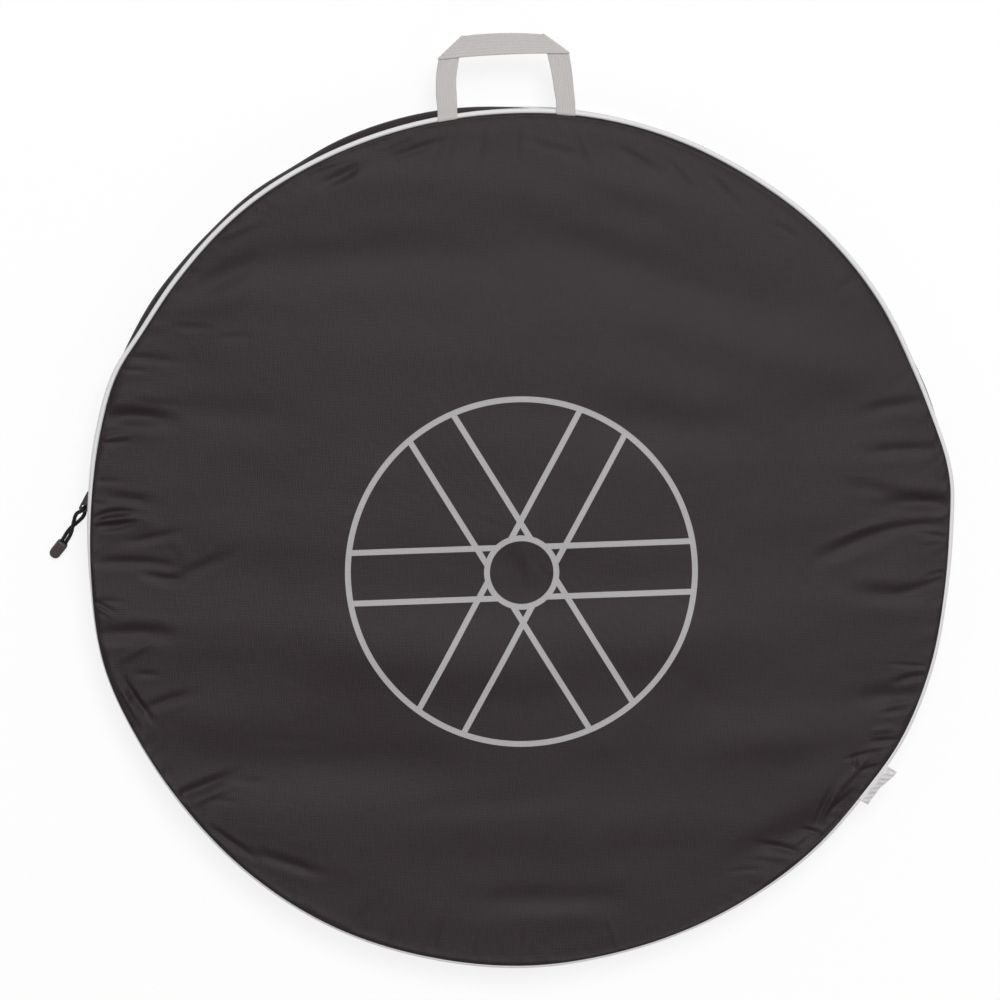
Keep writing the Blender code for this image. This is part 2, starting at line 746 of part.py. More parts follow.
RING_PIVOT = Vector((
    BRIDGE_LENGTH / 2 - BRIDGE_WALL - RING_WIRE / 2 - SLIDER_CLEARANCE,
    0,
    TOP_PLATE_HIGH + SLIDER_CLEARANCE + RING_WIRE / 2,
))
RING_FRAME = puller_frame(RING_PIVOT, RING_TILT, 0)
RING_END = RING_PIVOT + Vector((math.cos(RING_TILT), 0, math.sin(RING_TILT))) * RING_LENGTH
TAB_FRAME = puller_frame(RING_END, TAB_TILT, TAB_DROOP)
BAR_X = TAB_HOLE_SPACING + CORD_HOLE_LENGTH / 2 + TAB_FAR_MARGIN
CORD_PIVOT = SLIDER_FRAME.inverted() @ TAB_FRAME @ Vector((BAR_X, 0, 0))
CORD_FRAME = puller_frame(CORD_PIVOT, CORD_TILT, CORD_DROOP)

# Half of the cord's route, from the bend in the tab's hole to the grip. The other half mirrors it.
CORD_ROUTE = (
    (-0.0031, 0.0000, 0.0000),
    (-0.0024, -0.0003, 0.0020),
    (-0.0008, -0.0006, 0.0031),
    (0.0012, -0.0012, 0.0032),
    (0.0036, -0.0024, 0.0028),
    (0.0068, -0.0034, 0.0022),
    (0.0100, -0.0033, 0.0019),
    (0.0136, -0.0020, 0.0018),
    (0.0170, -0.0002, 0.0018),
    (0.0205, 0.0015, 0.0015),
    (0.0250, 0.0024, 0.0009),
    (0.0300, 0.0023, 0.0003),
    (0.0325, 0.0021, 0.0000),
    (0.0345, 0.0020, 0.0000),
)


def smooth_path(route, step):
    """Points about a step apart on a smooth curve through the route."""
    ends = [route[0] * 2 - route[1], *route, route[-1] * 2 - route[-2]]
    points = []
    for before, start, end, after in zip(ends, ends[1:], ends[2:], ends[3:]):
        count = max(1, round((end - start).length / step))
        for i in range(count):
            t = i / count
            bend = (before * -1 + start * 3 - end * 3 + after) * t ** 3
            swing = (before * 2 - start * 5 + end * 4 - after) * t ** 2
            points.append((start * 2 + (end - before) * t + swing + bend) / 2)
    return points + [route[-1]]


def make_ring(empty):
    half = RING_HALF_WIDTH
    centres = (
        (RING_LENGTH - RING_CORNER, half - RING_CORNER, 0),
        (RING_CORNER, half - RING_CORNER, 90),
        (RING_CORNER, -half + RING_CORNER, 180),
        (RING_LENGTH - RING_CORNER, -half + RING_CORNER, 270),
    )
    points = []
    for x, y, start in centres:
        for extra in (0, 45, 90):
            turn = math.radians(start + extra)
            points.append((x + RING_CORNER * math.cos(turn), 0, y + RING_CORNER * math.sin(turn)))
    ring = tube("pull_ring", points, RING_WIRE, cyclic=True)
    ring.matrix_world = RING_FRAME
    carry(ring, empty, ENAMEL)


def tab_outline():
    near = -TAB_NEAR_MARGIN
    far = BAR_X + TAB_FAR_MARGIN
    corner = TAB_FAR_MARGIN
    half = [
        (near, TAB_NEAR_WIDTH / 2 - corner),
        (near + corner, TAB_NEAR_WIDTH / 2),
        (TAB_HOLE_SPACING, TAB_FAR_WIDTH / 2),
        (far - corner, TAB_FAR_WIDTH / 2),
        (far, TAB_FAR_WIDTH / 2 - corner),
    ]
    return [(x, -y) for x, y in half] + half[::-1]


def make_tab(empty):
    holes = (
        round_hole(0, 0, RING_HOLE),
        round_hole(TAB_HOLE_SPACING, 0, CORD_HOLE_WIDTH, CORD_HOLE_LENGTH),
    )
    half = TAB_THICKNESS / 2
    tab = outline_plate("pull_tab", tab_outline(), -half, half, holes, PARTS)
    tab.matrix_world = TAB_FRAME
    carry(tab, empty, ENAMEL, smooth=False)


def make_cord(empty):
    half = [Vector(point) for point in CORD_ROUTE]
    other = [Vector((x, -y, -z)) for x, y, z in CORD_ROUTE[:0:-1]]
    points = smooth_path(other + half, CORD_STEP)
    cord = tube("pull_cord", points, CORD_DIAMETER)
    cord.matrix_world = CORD_FRAME
    carry(cord, empty, CORD_BLACK)


def make_grip(empty):
    """A moulded grip: square shoulders where the cord goes in, and a round far end."""
    half = GRIP_WIDTH / 2
    straight = GRIP_LENGTH - half
    shoulder = GRIP_EDGE
    outline = [(0, -half + shoulder), (shoulder, -half)]
    for i in range(HOLE_SIDES // 2 + 1):
        turn = -math.pi / 2 + math.pi * i / (HOLE_SIDES // 2)
        outline.append((straight + half * math.cos(turn), half * math.sin(turn)))
    outline += [(shoulder, half), (0, half - shoulder)]
    grip = outline_plate("pull_grip", outline, -GRIP_THICKNESS / 2, GRIP_THICKNESS / 2, collection=PARTS)
    bevel(grip, GRIP_EDGE)
    face = Vector(CORD_ROUTE[-1]).x + SEAT_GAP
    turn = Matrix.Rotation(GRIP_TILT - CORD_TILT, 4, "Z")
    grip.matrix_world = CORD_FRAME @ Matrix.Translation((face, 0, 0)) @ turn
    carry(grip, empty, GRIP_GREY, smooth=False)


def make_zip_runner():
    middle = (0, 0, ZIP_Z)
    slider = joint_empty("joint_slider", middle, (0, 0, -1), ROOT)
    make_slider(slider)
    ring_place = RING_FRAME.translation
    ring = joint_empty("joint_pull_ring", ring_place, (0, 0, -1), slider)
    make_ring(ring)
    tab = joint_empty("joint_pull_tab", TAB_FRAME.translation, (0, 0, -1), ring)
    make_tab(tab)
    raise_axis = CORD_FRAME.to_3x3() @ Vector((0, -1, 0))
    cord = joint_empty("joint_pull_cord", CORD_FRAME.translation, raise_axis, tab)
    make_cord(cord)
    make_grip(cord)


# The carrying handle. Its own X runs across the bag and its Y away from the seam.

HANDLE_AXIS_Y = math.sqrt(SEAM_RADIUS ** 2 - (HANDLE_FOOT_SPACING / 2) ** 2) - BEAD_RADIUS / 2
HANDLE_AXIS_Z = FRONT_SEAM_Z + BEAD_RADIUS + HANDLE_LIFT + WEBBING_THICKNESS / 2


def leg_outline(side):
    """One upright of the strap, from its heel at the seam to the slanting fold."""
    foot = HANDLE_FOOT_SPACING / 2
    half = WEBBING_WIDTH / 2
    fold_low = HANDLE_HEIGHT - WEBBING_WIDTH - HANDLE_BOW
    points = [
        (foot + half, -HANDLE_HEEL),
        (HANDLE_TOP_WIDTH / 2, fold_low),
        (HANDLE_CORNER_WIDTH / 2, HANDLE_HEIGHT - HANDLE_BOW),
        (HANDLE_TOP_WIDTH / 2 - WEBBING_WIDTH, fold_low),
        (foot - half, -HANDLE_HEEL),
    ]
    return [(x * side, y) for x, y in points[::side]]


def grip_outline():
    """The top of the strap, bowed up a little, over the uprights and between the folds."""
    top = HANDLE_HEIGHT - HANDLE_BOW
    low = top - WEBBING_WIDTH
    return [
        (-HANDLE_TOP_WIDTH / 2, low),
        (0, low + HANDLE_BOW),
        (HANDLE_TOP_WIDTH / 2, low),
        (HANDLE_CORNER_WIDTH / 2, top),
        (0, top + HANDLE_BOW),
        (-HANDLE_CORNER_WIDTH / 2, top),
    ]


def make_handle():
    half = WEBBING_THICKNESS / 2
    overlap = WEBBING_FOLD_OVERLAP
    strap = outline_plate("handle_strap", grip_outline(), half - overlap, half * 3 - overlap, collection=PARTS)
    place = Matrix.Translation((0, HANDLE_AXIS_Y, HANDLE_AXIS_Z))
    for side, side_name in ((1, "right"), (-1, "left")):
        leg = outline_plate("handle_leg_" + side_name, leg_outline(side), -half, half)
        leg.matrix_world = place
        boolean(strap, leg, "UNION")
    strap.matrix_world = place
    empty = joint_empty("joint_handle", (0, HANDLE_AXIS_Y, HANDLE_AXIS_Z), (1, 0, 0), FLAP)
    carry(strap, empty, PALE_WEBBING, smooth=False)


def make_label():
    """The small folded label, sewn in under the front piping."""
    high = FRONT_SEAM_Z - BEAD_RADIUS - SEAT_GAP
    inner = wall_radius(high) + SEAT_GAP
    half = LABEL_LENGTH / 2
    bow = inner - math.sqrt(inner ** 2 - half ** 2)
    outline = [
        (inner, 0),
        (inner - bow, -half),
        (inner - bow + LABEL_REACH, -half),
        (inner - bow + LABEL_REACH, half),
        (inner - bow, half),
    ]
    label = outline_plate("side_label", outline, high - LABEL_THICKNESS, high, collection=PARTS)
    label.matrix_world = Matrix.Rotation(LABEL_DIRECTION, 4, "Z")
    carry(label, ROOT, LABEL_GREY, smooth=False)


make_panels()
make_seams()
make_gusset()
make_zip_tapes()
make_coils()
make_zip_ends()
make_zip_runner()
make_handle()
make_label()
bpy.context.view_layer.update()
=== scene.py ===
"""The looks of the bike wheel bag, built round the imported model.

Metres, in the CAD frame: the bag lies on its back, +Z is its front, +Y points to the handle.
Angles round the bag are in degrees from +X towards +Y.
"""

import math

import bmesh
import bpy
import numpy as np
from mathutils import Matrix, Vector, noise


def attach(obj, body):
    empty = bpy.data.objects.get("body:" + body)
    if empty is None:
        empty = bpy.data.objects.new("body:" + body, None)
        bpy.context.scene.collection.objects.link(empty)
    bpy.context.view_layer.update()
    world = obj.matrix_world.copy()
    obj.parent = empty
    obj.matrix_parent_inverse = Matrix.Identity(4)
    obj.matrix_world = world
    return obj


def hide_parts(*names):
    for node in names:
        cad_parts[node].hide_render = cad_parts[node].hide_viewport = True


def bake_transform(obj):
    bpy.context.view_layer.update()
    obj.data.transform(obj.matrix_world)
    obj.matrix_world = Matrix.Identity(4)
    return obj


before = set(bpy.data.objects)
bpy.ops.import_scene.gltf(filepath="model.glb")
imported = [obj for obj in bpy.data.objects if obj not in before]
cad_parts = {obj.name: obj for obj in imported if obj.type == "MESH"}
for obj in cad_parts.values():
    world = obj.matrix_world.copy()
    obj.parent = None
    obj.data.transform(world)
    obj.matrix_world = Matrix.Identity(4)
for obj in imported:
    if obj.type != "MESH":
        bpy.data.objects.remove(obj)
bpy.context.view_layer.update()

MM = 0.001

# Sizes of the CAD model that the pieces here are fitted to.
SEAM_RADIUS = 0.3725
PANEL_RADIUS = 0.3697
BACK_SEAM_Z = 0.0035
FRONT_SEAM_Z = 0.0600
ZIP_Z = 0.03175
BEAD_RADIUS = 0.0022
GUSSET_HALF = 0.02545
GUSSET_SEAM_RADIUS = 0.3712
GUSSET_DRAW_IN = 0.0017
GUSSET_CLOTH = 0.0012
SEAT_GAP = 0.0003
TAPE_CLOTH = 0.0006
TAPE_RADIUS = 0.3680
TAPE_REACH = 0.0115
STRIP_INSET = 0.007
COIL_SPLIT = 0.0014
COIL_REACH = 0.0035
COIL_HEIGHT = 0.0022
COIL_START_Y = 0.0491
END_TAB_LOW_Y = 0.030
END_TAB_HIGH_Y = 0.046
END_TAB_HALF_WIDTH = 0.014
RIM_PUFF = 0.0052
RIM_ROLL = 0.016
RIM_ROUNDNESS = 2.4
PANEL_CROWN = 0.0028
PAD_THICKNESS = 0.0064
BACK_LINING_TOP = 0.0070
BACK_RIM_ROLL = 0.0075

# The camera: a long lens over the lying bag, leaning a little towards the handle's left.
CAMERA_DISTANCE = 4.0
CAMERA_LEAN = math.radians(6.5)
CAMERA_SIDE = math.radians(105)
PHOTO_TURN = math.radians(1.8)
PHOTO_SIZE = 1000
PIXELS_PER_METRE = 1158
BAG_MIDDLE_PIXEL = (520.5, 543.0)
SENSOR_WIDTH = 36.0

# How far the soft front seam sways in or out of a true circle: (degrees, mm).
FRONT_SWAY = (
    (0, 1.0), (6, 4.2), (16, 0.2), (22, -0.6), (32, 1.8), (44, 2.4), (56, 1.0),
    (68, 1.2), (80, 0.8), (90, -0.6), (105, -0.6), (115, 0.5), (127, 2.3),
    (141, 1.0), (149, 1.6), (155, 6.0), (163, 3.9), (171, 0.5), (183, -1.5),
    (195, 1.2), (206, -1.3), (216, -1.8), (228, -0.4), (242, 0.5), (256, -0.6),
    (270, -0.8), (281, -2.5), (299, -1.8), (312, -0.2), (322, -0.4), (330, 2.3),
    (341, 1.3), (351, -0.9),
)
# The back seam, held by its flat panel, sways by this share of that.
BACK_SWAY_SHARE = 0.45
# How far the front panel's padded edge reaches out over the piping.
EDGE_OVERHANG = (
    (0, 1.5), (10, 1.9), (30, 0.2), (50, 0.9), (70, 0.3), (90, 0.8), (105, 1.0),
    (120, 1.0), (140, 1.0), (150, 1.2), (160, 0.5), (172, 1.9), (188, 4.2), (200, 4.2),
    (215, 3.4), (245, 3.1), (265, 2.6), (290, 3.0), (320, 2.3), (335, 2.0), (350, 2.1),
)
# How high the front seam stands over or under its plane.
SEAM_LIFT = (
    (0, 0.3), (25, -0.5), (60, 0.4), (95, 0.0), (130, 0.5), (156, -0.9), (175, 0.2),
    (205, 0.5), (240, -0.3), (275, 0.3), (310, -0.4), (335, 0.5),
)
# The front strip's slack cloth, which shows as a dark crescent beside the piping.
STRIP_SLACK = (
    (0, 0.4), (8, 3.6), (15, 6.2), (22, 5.4), (32, 0.6), (60, 0.3), (80, 1.5), (90, 5.6),
    (97, 8.6), (105, 10.2), (113, 10.0), (119, 8.2), (126, 9.2), (132, 8.2), (138, 8.6),
    (146, 9.6), (152, 7.6), (158, 1.6), (166, 0.3), (230, 0.3), (300, 0.3),
)


def along_circle(table, degrees):
    """Values by angle on a smooth closed curve through a table of (degrees, mm), in metres."""
    at = np.array([place for place, _ in table], float)
    value = np.array([amount for _, amount in table], float) * MM
    at = np.concatenate((at[-2:] - 360, at, at[:2] + 360))
    value = np.concatenate((value[-2:], value, value[:2]))
    slope = np.gradient(value, at)
    x = np.mod(degrees, 360)
    i = np.searchsorted(at, x, side="right") - 1
    width = at[i + 1] - at[i]
    t = (x - at[i]) / width
    start = (2 * t ** 3 - 3 * t ** 2 + 1) * value[i] + (t ** 3 - 2 * t ** 2 + t) * width * slope[i]
    end = (3 * t ** 2 - 2 * t ** 3) * value[i + 1] + (t ** 3 - t ** 2) * width * slope[i + 1]
    return start + end


def ease(low, high, x):
    """0 below low, 1 above high, and a smooth step between them."""
    t = np.clip((x - low) / (high - low), 0, 1)
    return t * t * (3 - 2 * t)


def seam_radius(degrees):
    return SEAM_RADIUS + along_circle(FRONT_SWAY, degrees)


def seam_height(degrees):
    return FRONT_SEAM_Z + along_circle(SEAM_LIFT, degrees)


def back_sway(degrees):
    return along_circle(FRONT_SWAY, degrees) * BACK_SWAY_SHARE


# Meshes.

def add_object(name, mesh):
    made = bpy.data.objects.new(name, mesh)
    bpy.context.scene.collection.objects.link(made)
    return made


def set_places(mesh, places):
    """Writes the cloth's flat coordinates of each face corner into a UV map."""
    layer = mesh.uv_layers.new(name="cloth")
    layer.data.foreach_set("uv", np.asarray(places, np.float32).ravel())


def surface(name, points, places, wrap=(False, False), caps=False):
    """A smooth mesh of quads through points[i, j], with flat coordinates places[i, j].

    A wrapped direction closes on itself, and its places have one more row for that.
    """
    rows, columns = points.shape[:2]
    index = np.arange(rows * columns).reshape(rows, columns)
    i, j = np.meshgrid(
        np.arange(rows - 1 + wrap[0]), np.arange(columns - 1 + wrap[1]), indexing="ij"
    )
    i, j = i.ravel(), j.ravel()
    corners = ((i, j), (i + 1, j), (i + 1, j + 1), (i, j + 1))
    faces = np.stack([index[a % rows, b % columns] for a, b in corners], 1)
    loops = np.stack([places[a, b] for a, b in corners], 1).reshape(-1, 2)
    faces = faces.tolist()
    if caps:
        for row, order in ((0, 1), (rows - 1, -1)):
            faces.append(index[row][::order].tolist())
            loops = np.concatenate((loops, places[row, :columns][::order]))
    mesh = bpy.data.meshes.new(name)
    mesh.from_pydata(points.reshape(-1, 3).tolist(), [], faces)
    set_places(mesh, loops)
    if wrap[1]:
        outwards(mesh)
    mesh.shade_smooth()
    return add_object(name, mesh)


def outwards(mesh):
    shape = bmesh.new()
    shape.from_mesh(mesh)
    bmesh.ops.recalc_face_normals(shape, faces=shape.faces)
    shape.to_mesh(mesh)
    shape.free()


def round_place(degrees, radius, height):
    """Points at angles, radii and heights round the bag's middle."""
    turn = np.radians(degrees)
    return np.stack(np.broadcast_arrays(radius * np.cos(turn), radius * np.sin(turn), height), -1)


def swept(name, degrees, profile, wrap=False):
    """Sweeps a closed profile round the bag. profile(degrees) gives radii and heights [i, j]."""
    at = degrees[:-1] if wrap else degrees
    radius, height = profile(at[:, None])
    points = round_place(at[:, None], radius, height)
    steps = np.linalg.norm(np.diff(points, axis=1), axis=2).mean(0)
    across = np.concatenate(([0], np.cumsum(steps), [steps.sum() + MM]))
    along = np.radians(degrees) * SEAM_RADIUS
    places = np.stack(np.meshgrid(along, across, indexing="ij"), -1)
    return surface(name, points, places, (wrap, True), caps=not wrap)


def subdivided(obj, levels=1):
    modifier = obj.modifiers.new("smooth", "SUBSURF")
    modifier.levels = levels
    modifier.render_levels = levels
    return obj


def joined_rings(rings):
    """Faces between rings of points, each with as many points as the next, or half or twice."""
    faces, first = [], 0
    for ring, following in zip(rings, rings[1:]):
        n, m = len(ring), len(following)
        a, b = first, first + n
        if n == 1:
            faces += [(a, b + k, b + (k + 1) % m) for k in range(m)]
        elif m == 1:
            faces += [(a + k, b, a + (k + 1) % n) for k in range(n)]
        elif n == m:
            faces += [(a + k, b + k, b + (k + 1) % m, a + (k + 1) % n) for k in range(n)]
        elif m == 2 * n:
            for k in range(n):
                near, far = a + k, a + (k + 1) % n
                left, middle, right = b + 2 * k, b + 2 * k + 1, b + (2 * k + 2) % m
                faces += [(near, left, middle), (near, middle, far), (far, middle, right)]
        else:
            for k in range(m):
                near, far = b + k, b + (k + 1) % m
                left, middle, right = a + 2 * k, a + 2 * k + 1, a + (2 * k + 2) % n
                faces += [(left, near, middle), (near, far, middle), (far, right, middle)]
        first += n
    return faces


def disc_mesh(name, rings):
    """A mesh of rings about the middle, with its flat coordinates seen from above."""
    mesh = bpy.data.meshes.new(name)
    points = np.concatenate(rings)
    mesh.from_pydata(points.tolist(), [], joined_rings(rings))
    loops = np.empty(len(mesh.loops), np.int32)
    mesh.loops.foreach_get("vertex_index", loops)
    set_places(mesh, points[loops, :2])
    mesh.shade_smooth()
    return mesh


# Materials.

class Look:
    """A node material in the making: its shader, and short ways to add nodes."""

    def __init__(self, name, roughness, specular=0.5, metallic=0.0):
        self.material = bpy.data.materials.new(name)
        self.material.use_nodes = True
        self.tree = self.material.node_tree
        self.shader = self.tree.nodes["Principled BSDF"]
        self.shader.inputs["Roughness"].default_value = roughness
        self.shader.inputs["Specular IOR Level"].default_value = specular
        self.shader.inputs["Metallic"].default_value = metallic

    def node(self, kind, **settings):
        made = self.tree.nodes.new("ShaderNode" + kind)
        for key, value in settings.items():
            setattr(made, key, value)
        return made

    def feed(self, socket, value):
        if isinstance(value, bpy.types.NodeSocket):
            self.tree.links.new(value, socket)
        else:
            socket.default_value = value

    def set(self, name, value):
        self.feed(self.shader.inputs[name], value)

    def math(self, operation, *values, clamp=False):
        made = self.node("Math", operation=operation, use_clamp=clamp)
        for socket, value in zip(made.inputs, values):
            self.feed(socket, value)
        return made.outputs[0]

    def places(self):
        """The cloth's flat coordinates, in metres."""
        split = self.node("SeparateXYZ")
        self.feed(split.inputs[0], self.node("UVMap", uv_map="cloth").outputs[0])
        return split.outputs[0], split.outputs[1]

    def solid_place(self):
        """The object's own coordinates, in metres."""
        return self.node("TexCoord").outputs["Object"]

    def stretched(self, u, v, length_u, length_v):
        """A vector in which a noise of scale 1 has grains of these lengths."""
        made = self.node("CombineXYZ")
        self.feed(made.inputs[0], self.math("DIVIDE", u, length_u))
        self.feed(made.inputs[1], self.math("DIVIDE", v, length_v))
        return made.outputs[0]

    def noise(self, vector, scale=1.0, detail=2.0, roughness=0.5):
        made = self.node("TexNoise")
        self.feed(made.inputs["Vector"], vector)
        for name, value in (("Scale", scale), ("Detail", detail), ("Roughness", roughness)):
            made.inputs[name].default_value = value
        return made.outputs["Fac"]

    def mix(self, share, first, second):
        made = self.node("Mix", data_type="RGBA")
        for index, value in ((0, share), (6, first), (7, second)):
            self.feed(made.inputs[index], value)
        return made.outputs[2]

    def spread(self, value, low, high):
        """Maps 0 to 1 onto low to high."""
        made = self.node("MapRange")
        for index, amount in ((0, value), (3, low), (4, high)):
            self.feed(made.inputs[index], amount)
        return made.outputs[0]

    def bump(self, height, distance, strength=1.0, under=None):
        made = self.node("Bump")
        made.inputs["Strength"].default_value = strength
        made.inputs["Distance"].default_value = distance
        self.feed(made.inputs["Height"], height)
        if under:
            self.feed(made.inputs["Normal"], under)
        return made.outputs["Normal"]


def shade(colour, factor):
    return tuple(min(1.0, part * factor) for part in colour[:3]) + (1.0,)


# How far a weave's crossings and yarns raise it, and how far the yarns change its roughness.
CROSSING_RISE = 0.35
YARN_RISE = 1.2
YARN_ROUGHNESS = 0.08
SHEEN_ROUGHNESS = 0.4


def woven(name, colour, roughness, specular, pitch, streak, sheen=0.0, depth=0.00012,
          contrast=0.12, cloud_size=0.09, tone_and_sheen_contrast=0.08):
    """A plain weave of yarns a pitch apart, whose thickness and tone vary along the yarns, under broad
    clouds of random tone and painted sheen in its colour.
    """
    look = Look(name, roughness, specular)
    u, v = look.places()
    over = look.math("SINE", look.math("MULTIPLY", u, math.pi / pitch[0]))
    under = look.math("SINE", look.math("MULTIPLY", v, math.pi / pitch[1]))
    crossing = look.math("MULTIPLY", over, under)
    warp = look.noise(look.stretched(u, v, streak[0], streak[1]), detail=1)
    weft = look.noise(look.stretched(u, v, streak[1], streak[0]), detail=1)
    yarns = look.math("ADD", warp, weft)
    # Broad clouds in the colour: partly a random tone of the cloth, partly a painted sheen mottling.
    clouds = look.noise(look.stretched(u, v, cloud_size, cloud_size), detail=3)
    tone = look.math("MULTIPLY_ADD", look.math("SUBTRACT", yarns, 1.0), contrast * 4, 0.5)
    tone = look.math("MULTIPLY_ADD", crossing, contrast, tone)
    tone_and_sheen_offset = look.math("SUBTRACT", clouds, 0.5)
    tone = look.math("MULTIPLY_ADD", tone_and_sheen_offset, tone_and_sheen_contrast * 6, tone, clamp=True)
    cloth = look.mix(tone, shade(colour, 1 - contrast * 2), shade(colour, 1 + contrast * 2))
    raised = look.math("MULTIPLY", yarns, YARN_RISE)
    look.set("Base Color", cloth)
    look.set("Normal", look.bump(look.math("MULTIPLY_ADD", crossing, CROSSING_RISE, raised), depth))
    look.set("Roughness", look.spread(yarns, roughness - YARN_ROUGHNESS, roughness + YARN_ROUGHNESS))
    if sheen:
        look.shader.inputs["Sheen Weight"].default_value = sheen
        look.shader.inputs["Sheen Roughness"].default_value = SHEEN_ROUGHNESS
    return look, cloth, (u, v)


# The print on the front: a plain wheel outline.
PRINT_CENTRE = (0.0, -0.025)
PRINT_LINE = 0.0052
PRINT_RIM_RADIUS = 0.150
PRINT_HUB_RADIUS = 0.030
PRINT_SPOKE_PAIRS = 6
PRINT_SPOKE_OFFSET = 0.022
PRINT_COLOUR = (0.500, 0.486, 0.490, 1.0)
PRINT_EDGE = 0.0002
# The ink's own grain, and how far it covers the cloth.
PRINT_GRAIN = 0.0006
PRINT_COVER = (0.84, 1.06)


def wheel_print(look, u, v):
    """1 on the printed lines and 0 beside them."""
    x = look.math("SUBTRACT", u, PRINT_CENTRE[0])
    y = look.math("SUBTRACT", v, PRINT_CENTRE[1])
    radius = look.math("SQRT", look.math("MULTIPLY_ADD", x, x, look.math("MULTIPLY", y, y)))
    turn = look.math("ARCTAN2", y, x)
    sector = math.tau / PRINT_SPOKE_PAIRS

    def line(distance):
        inside = look.math("SUBTRACT", PRINT_LINE / 2, look.math("ABSOLUTE", distance))
        return look.math("DIVIDE", inside, PRINT_EDGE, clamp=True)

    def spokes(side):
        wrapped = look.math("WRAP", look.math("MULTIPLY", turn, side), sector, 0.0)
        across = look.math("MULTIPLY", radius, look.math("SINE", wrapped))
        return line(look.math("SUBTRACT", across, PRINT_SPOKE_OFFSET))

    rings = look.math(
        "MAXIMUM",
        line(look.math("SUBTRACT", radius, PRINT_RIM_RADIUS)),
        line(look.math("SUBTRACT", radius, PRINT_HUB_RADIUS)),
    )
    both = look.math("MAXIMUM", spokes(1), spokes(-1))
    beyond_hub = look.math("GREATER_THAN", radius, PRINT_HUB_RADIUS)
    within_rim = look.math("LESS_THAN", radius, PRINT_RIM_RADIUS)
    both = look.math("MULTIPLY", both, look.math("MULTIPLY", beyond_hub, within_rim))
    return look.math("MAXIMUM", rings, both)


OUTER_BLACK = (0.0200, 0.0120, 0.0149)
# The outer cloth's weave, whose broad clouds are random tone and painted sheen.
OUTER_WEAVE = dict(
    roughness=0.45, specular=0.36, pitch=(0.0009, 0.0009), streak=(0.0011, 0.012), depth=0.00022,
    contrast=0.20, cloud_size=0.05, tone_and_sheen_contrast=0.05, sheen=0.03,
)


def front_cloth():
    look, cloth, (u, v) = woven("front_cloth", OUTER_BLACK, **OUTER_WEAVE)
    ink = wheel_print(look, u, v)
    grain = look.noise(look.stretched(u, v, PRINT_GRAIN, PRINT_GRAIN), detail=2)
    cover = look.math("MULTIPLY", ink, look.spread(grain, *PRINT_COVER), clamp=True)
    look.set("Base Color", look.mix(cover, cloth, PRINT_COLOUR))
    return look.material


def plain_cloth(name, *values, **named):
    return woven(name, *values, **named)[0].material


FRONT_CLOTH = front_cloth()
SIDE_CLOTH = plain_cloth("side_cloth", OUTER_BLACK, **OUTER_WEAVE)
LINING_CLOTH = plain_cloth(
    "lining_cloth", (0.020, 0.019, 0.021), 0.62, 0.2, (0.0006, 0.0006), (0.0016, 0.03), contrast=0.16,
)
TAPE_WEAVE = plain_cloth(
    "tape_weave", (0.016, 0.015, 0.016), 0.7, 0.2, (0.0009, 0.0005), (0.001, 0.01),
    depth=0.0002, contrast=0.2,
)
BINDING_WEAVE = plain_cloth(
    "binding_weave", (0.022, 0.020, 0.022), 0.75, 0.2, (0.0010, 0.0007), (0.001, 0.012),
    depth=0.0002, contrast=0.2,
)
WEBBING_WEAVE = plain_cloth(
    "webbing_weave", (0.620, 0.592, 0.584), 0.72, 0.2, (0.0013, 0.0009), (0.0012, 0.02),
    sheen=0.1, depth=0.00025, contrast=0.07,
)
LABEL_WEAVE = plain_cloth(
    "label_weave", (0.84, 0.81, 0.815), 0.30, 0.5, (0.0003, 0.0003), (0.0006, 0.02),
    depth=0.00006, contrast=0.08,
)
CORD_BRAID = plain_cloth(
    "cord_braid", (0.016, 0.0145, 0.0145), 0.6, 0.3, (0.0008, 0.0008), (0.0008, 0.004),
    depth=0.0002, contrast=0.2,
)
THREAD_TWIST = plain_cloth(
    "thread_twist", (0.030, 0.026, 0.028), 0.5, 0.4, (0.0006, 0.0003), (0.0005, 0.002),
    depth=0.0001, contrast=0.2,
)
PIPING_SKIN = plain_cloth(
    "piping_skin", (0.840, 0.850, 0.840), 0.42, 0.4, (0.0007, 0.0007), (0.0009, 0.02),
    depth=0.00008, contrast=0.04,
)


def moulded(name, colour, roughness, grain, depth):
    """A moulded plastic or rubber with a fine grain and, 14 grains across, faint clouds."""
    look = Look(name, roughness, 0.4)
    place = look.solid_place()
    fine = look.noise(place, 1 / grain, 3)
    broad = look.noise(place, 1 / (grain * 14), 2)
    look.set("Base Color", look.mix(broad, shade(colour, 0.86), shade(colour, 1.14)))
    look.set("Roughness", look.spread(fine, roughness - 0.1, roughness + 0.1))
    look.set("Normal", look.bump(fine, depth))
    return look.material


ENAMEL_GRAIN = 0.0004
ENAMEL_CLOUD = 1 / 260
# Pointiness, from 0 to 1, is spread over this range, and what comes out above 0 is worn.
WEAR_RANGE = (-4.2, 4.6)


def enamelled(name, colour, metal, roughness):
    """Black enamel that has worn thin along the edges."""
    look = Look(name, roughness, 0.5, 0.0)
    place = look.solid_place()
    fine = look.noise(place, 1 / ENAMEL_GRAIN, 3)
    broad = look.noise(place, 1 / ENAMEL_CLOUD, 2)
    edge = look.spread(look.node("NewGeometry").outputs["Pointiness"], *WEAR_RANGE)
    worn = look.math("MULTIPLY", look.math("MULTIPLY", edge, broad, clamp=True), 0.5, clamp=True)
    base = look.mix(broad, shade(colour, 0.8), shade(colour, 1.2))
    look.set("Base Color", look.mix(worn, base, metal))
    look.set("Metallic", worn)
    look.set("Roughness", look.spread(fine, roughness - 0.06, roughness + 0.12))
    look.set("Normal", look.bump(fine, 0.00002))
    return look.material


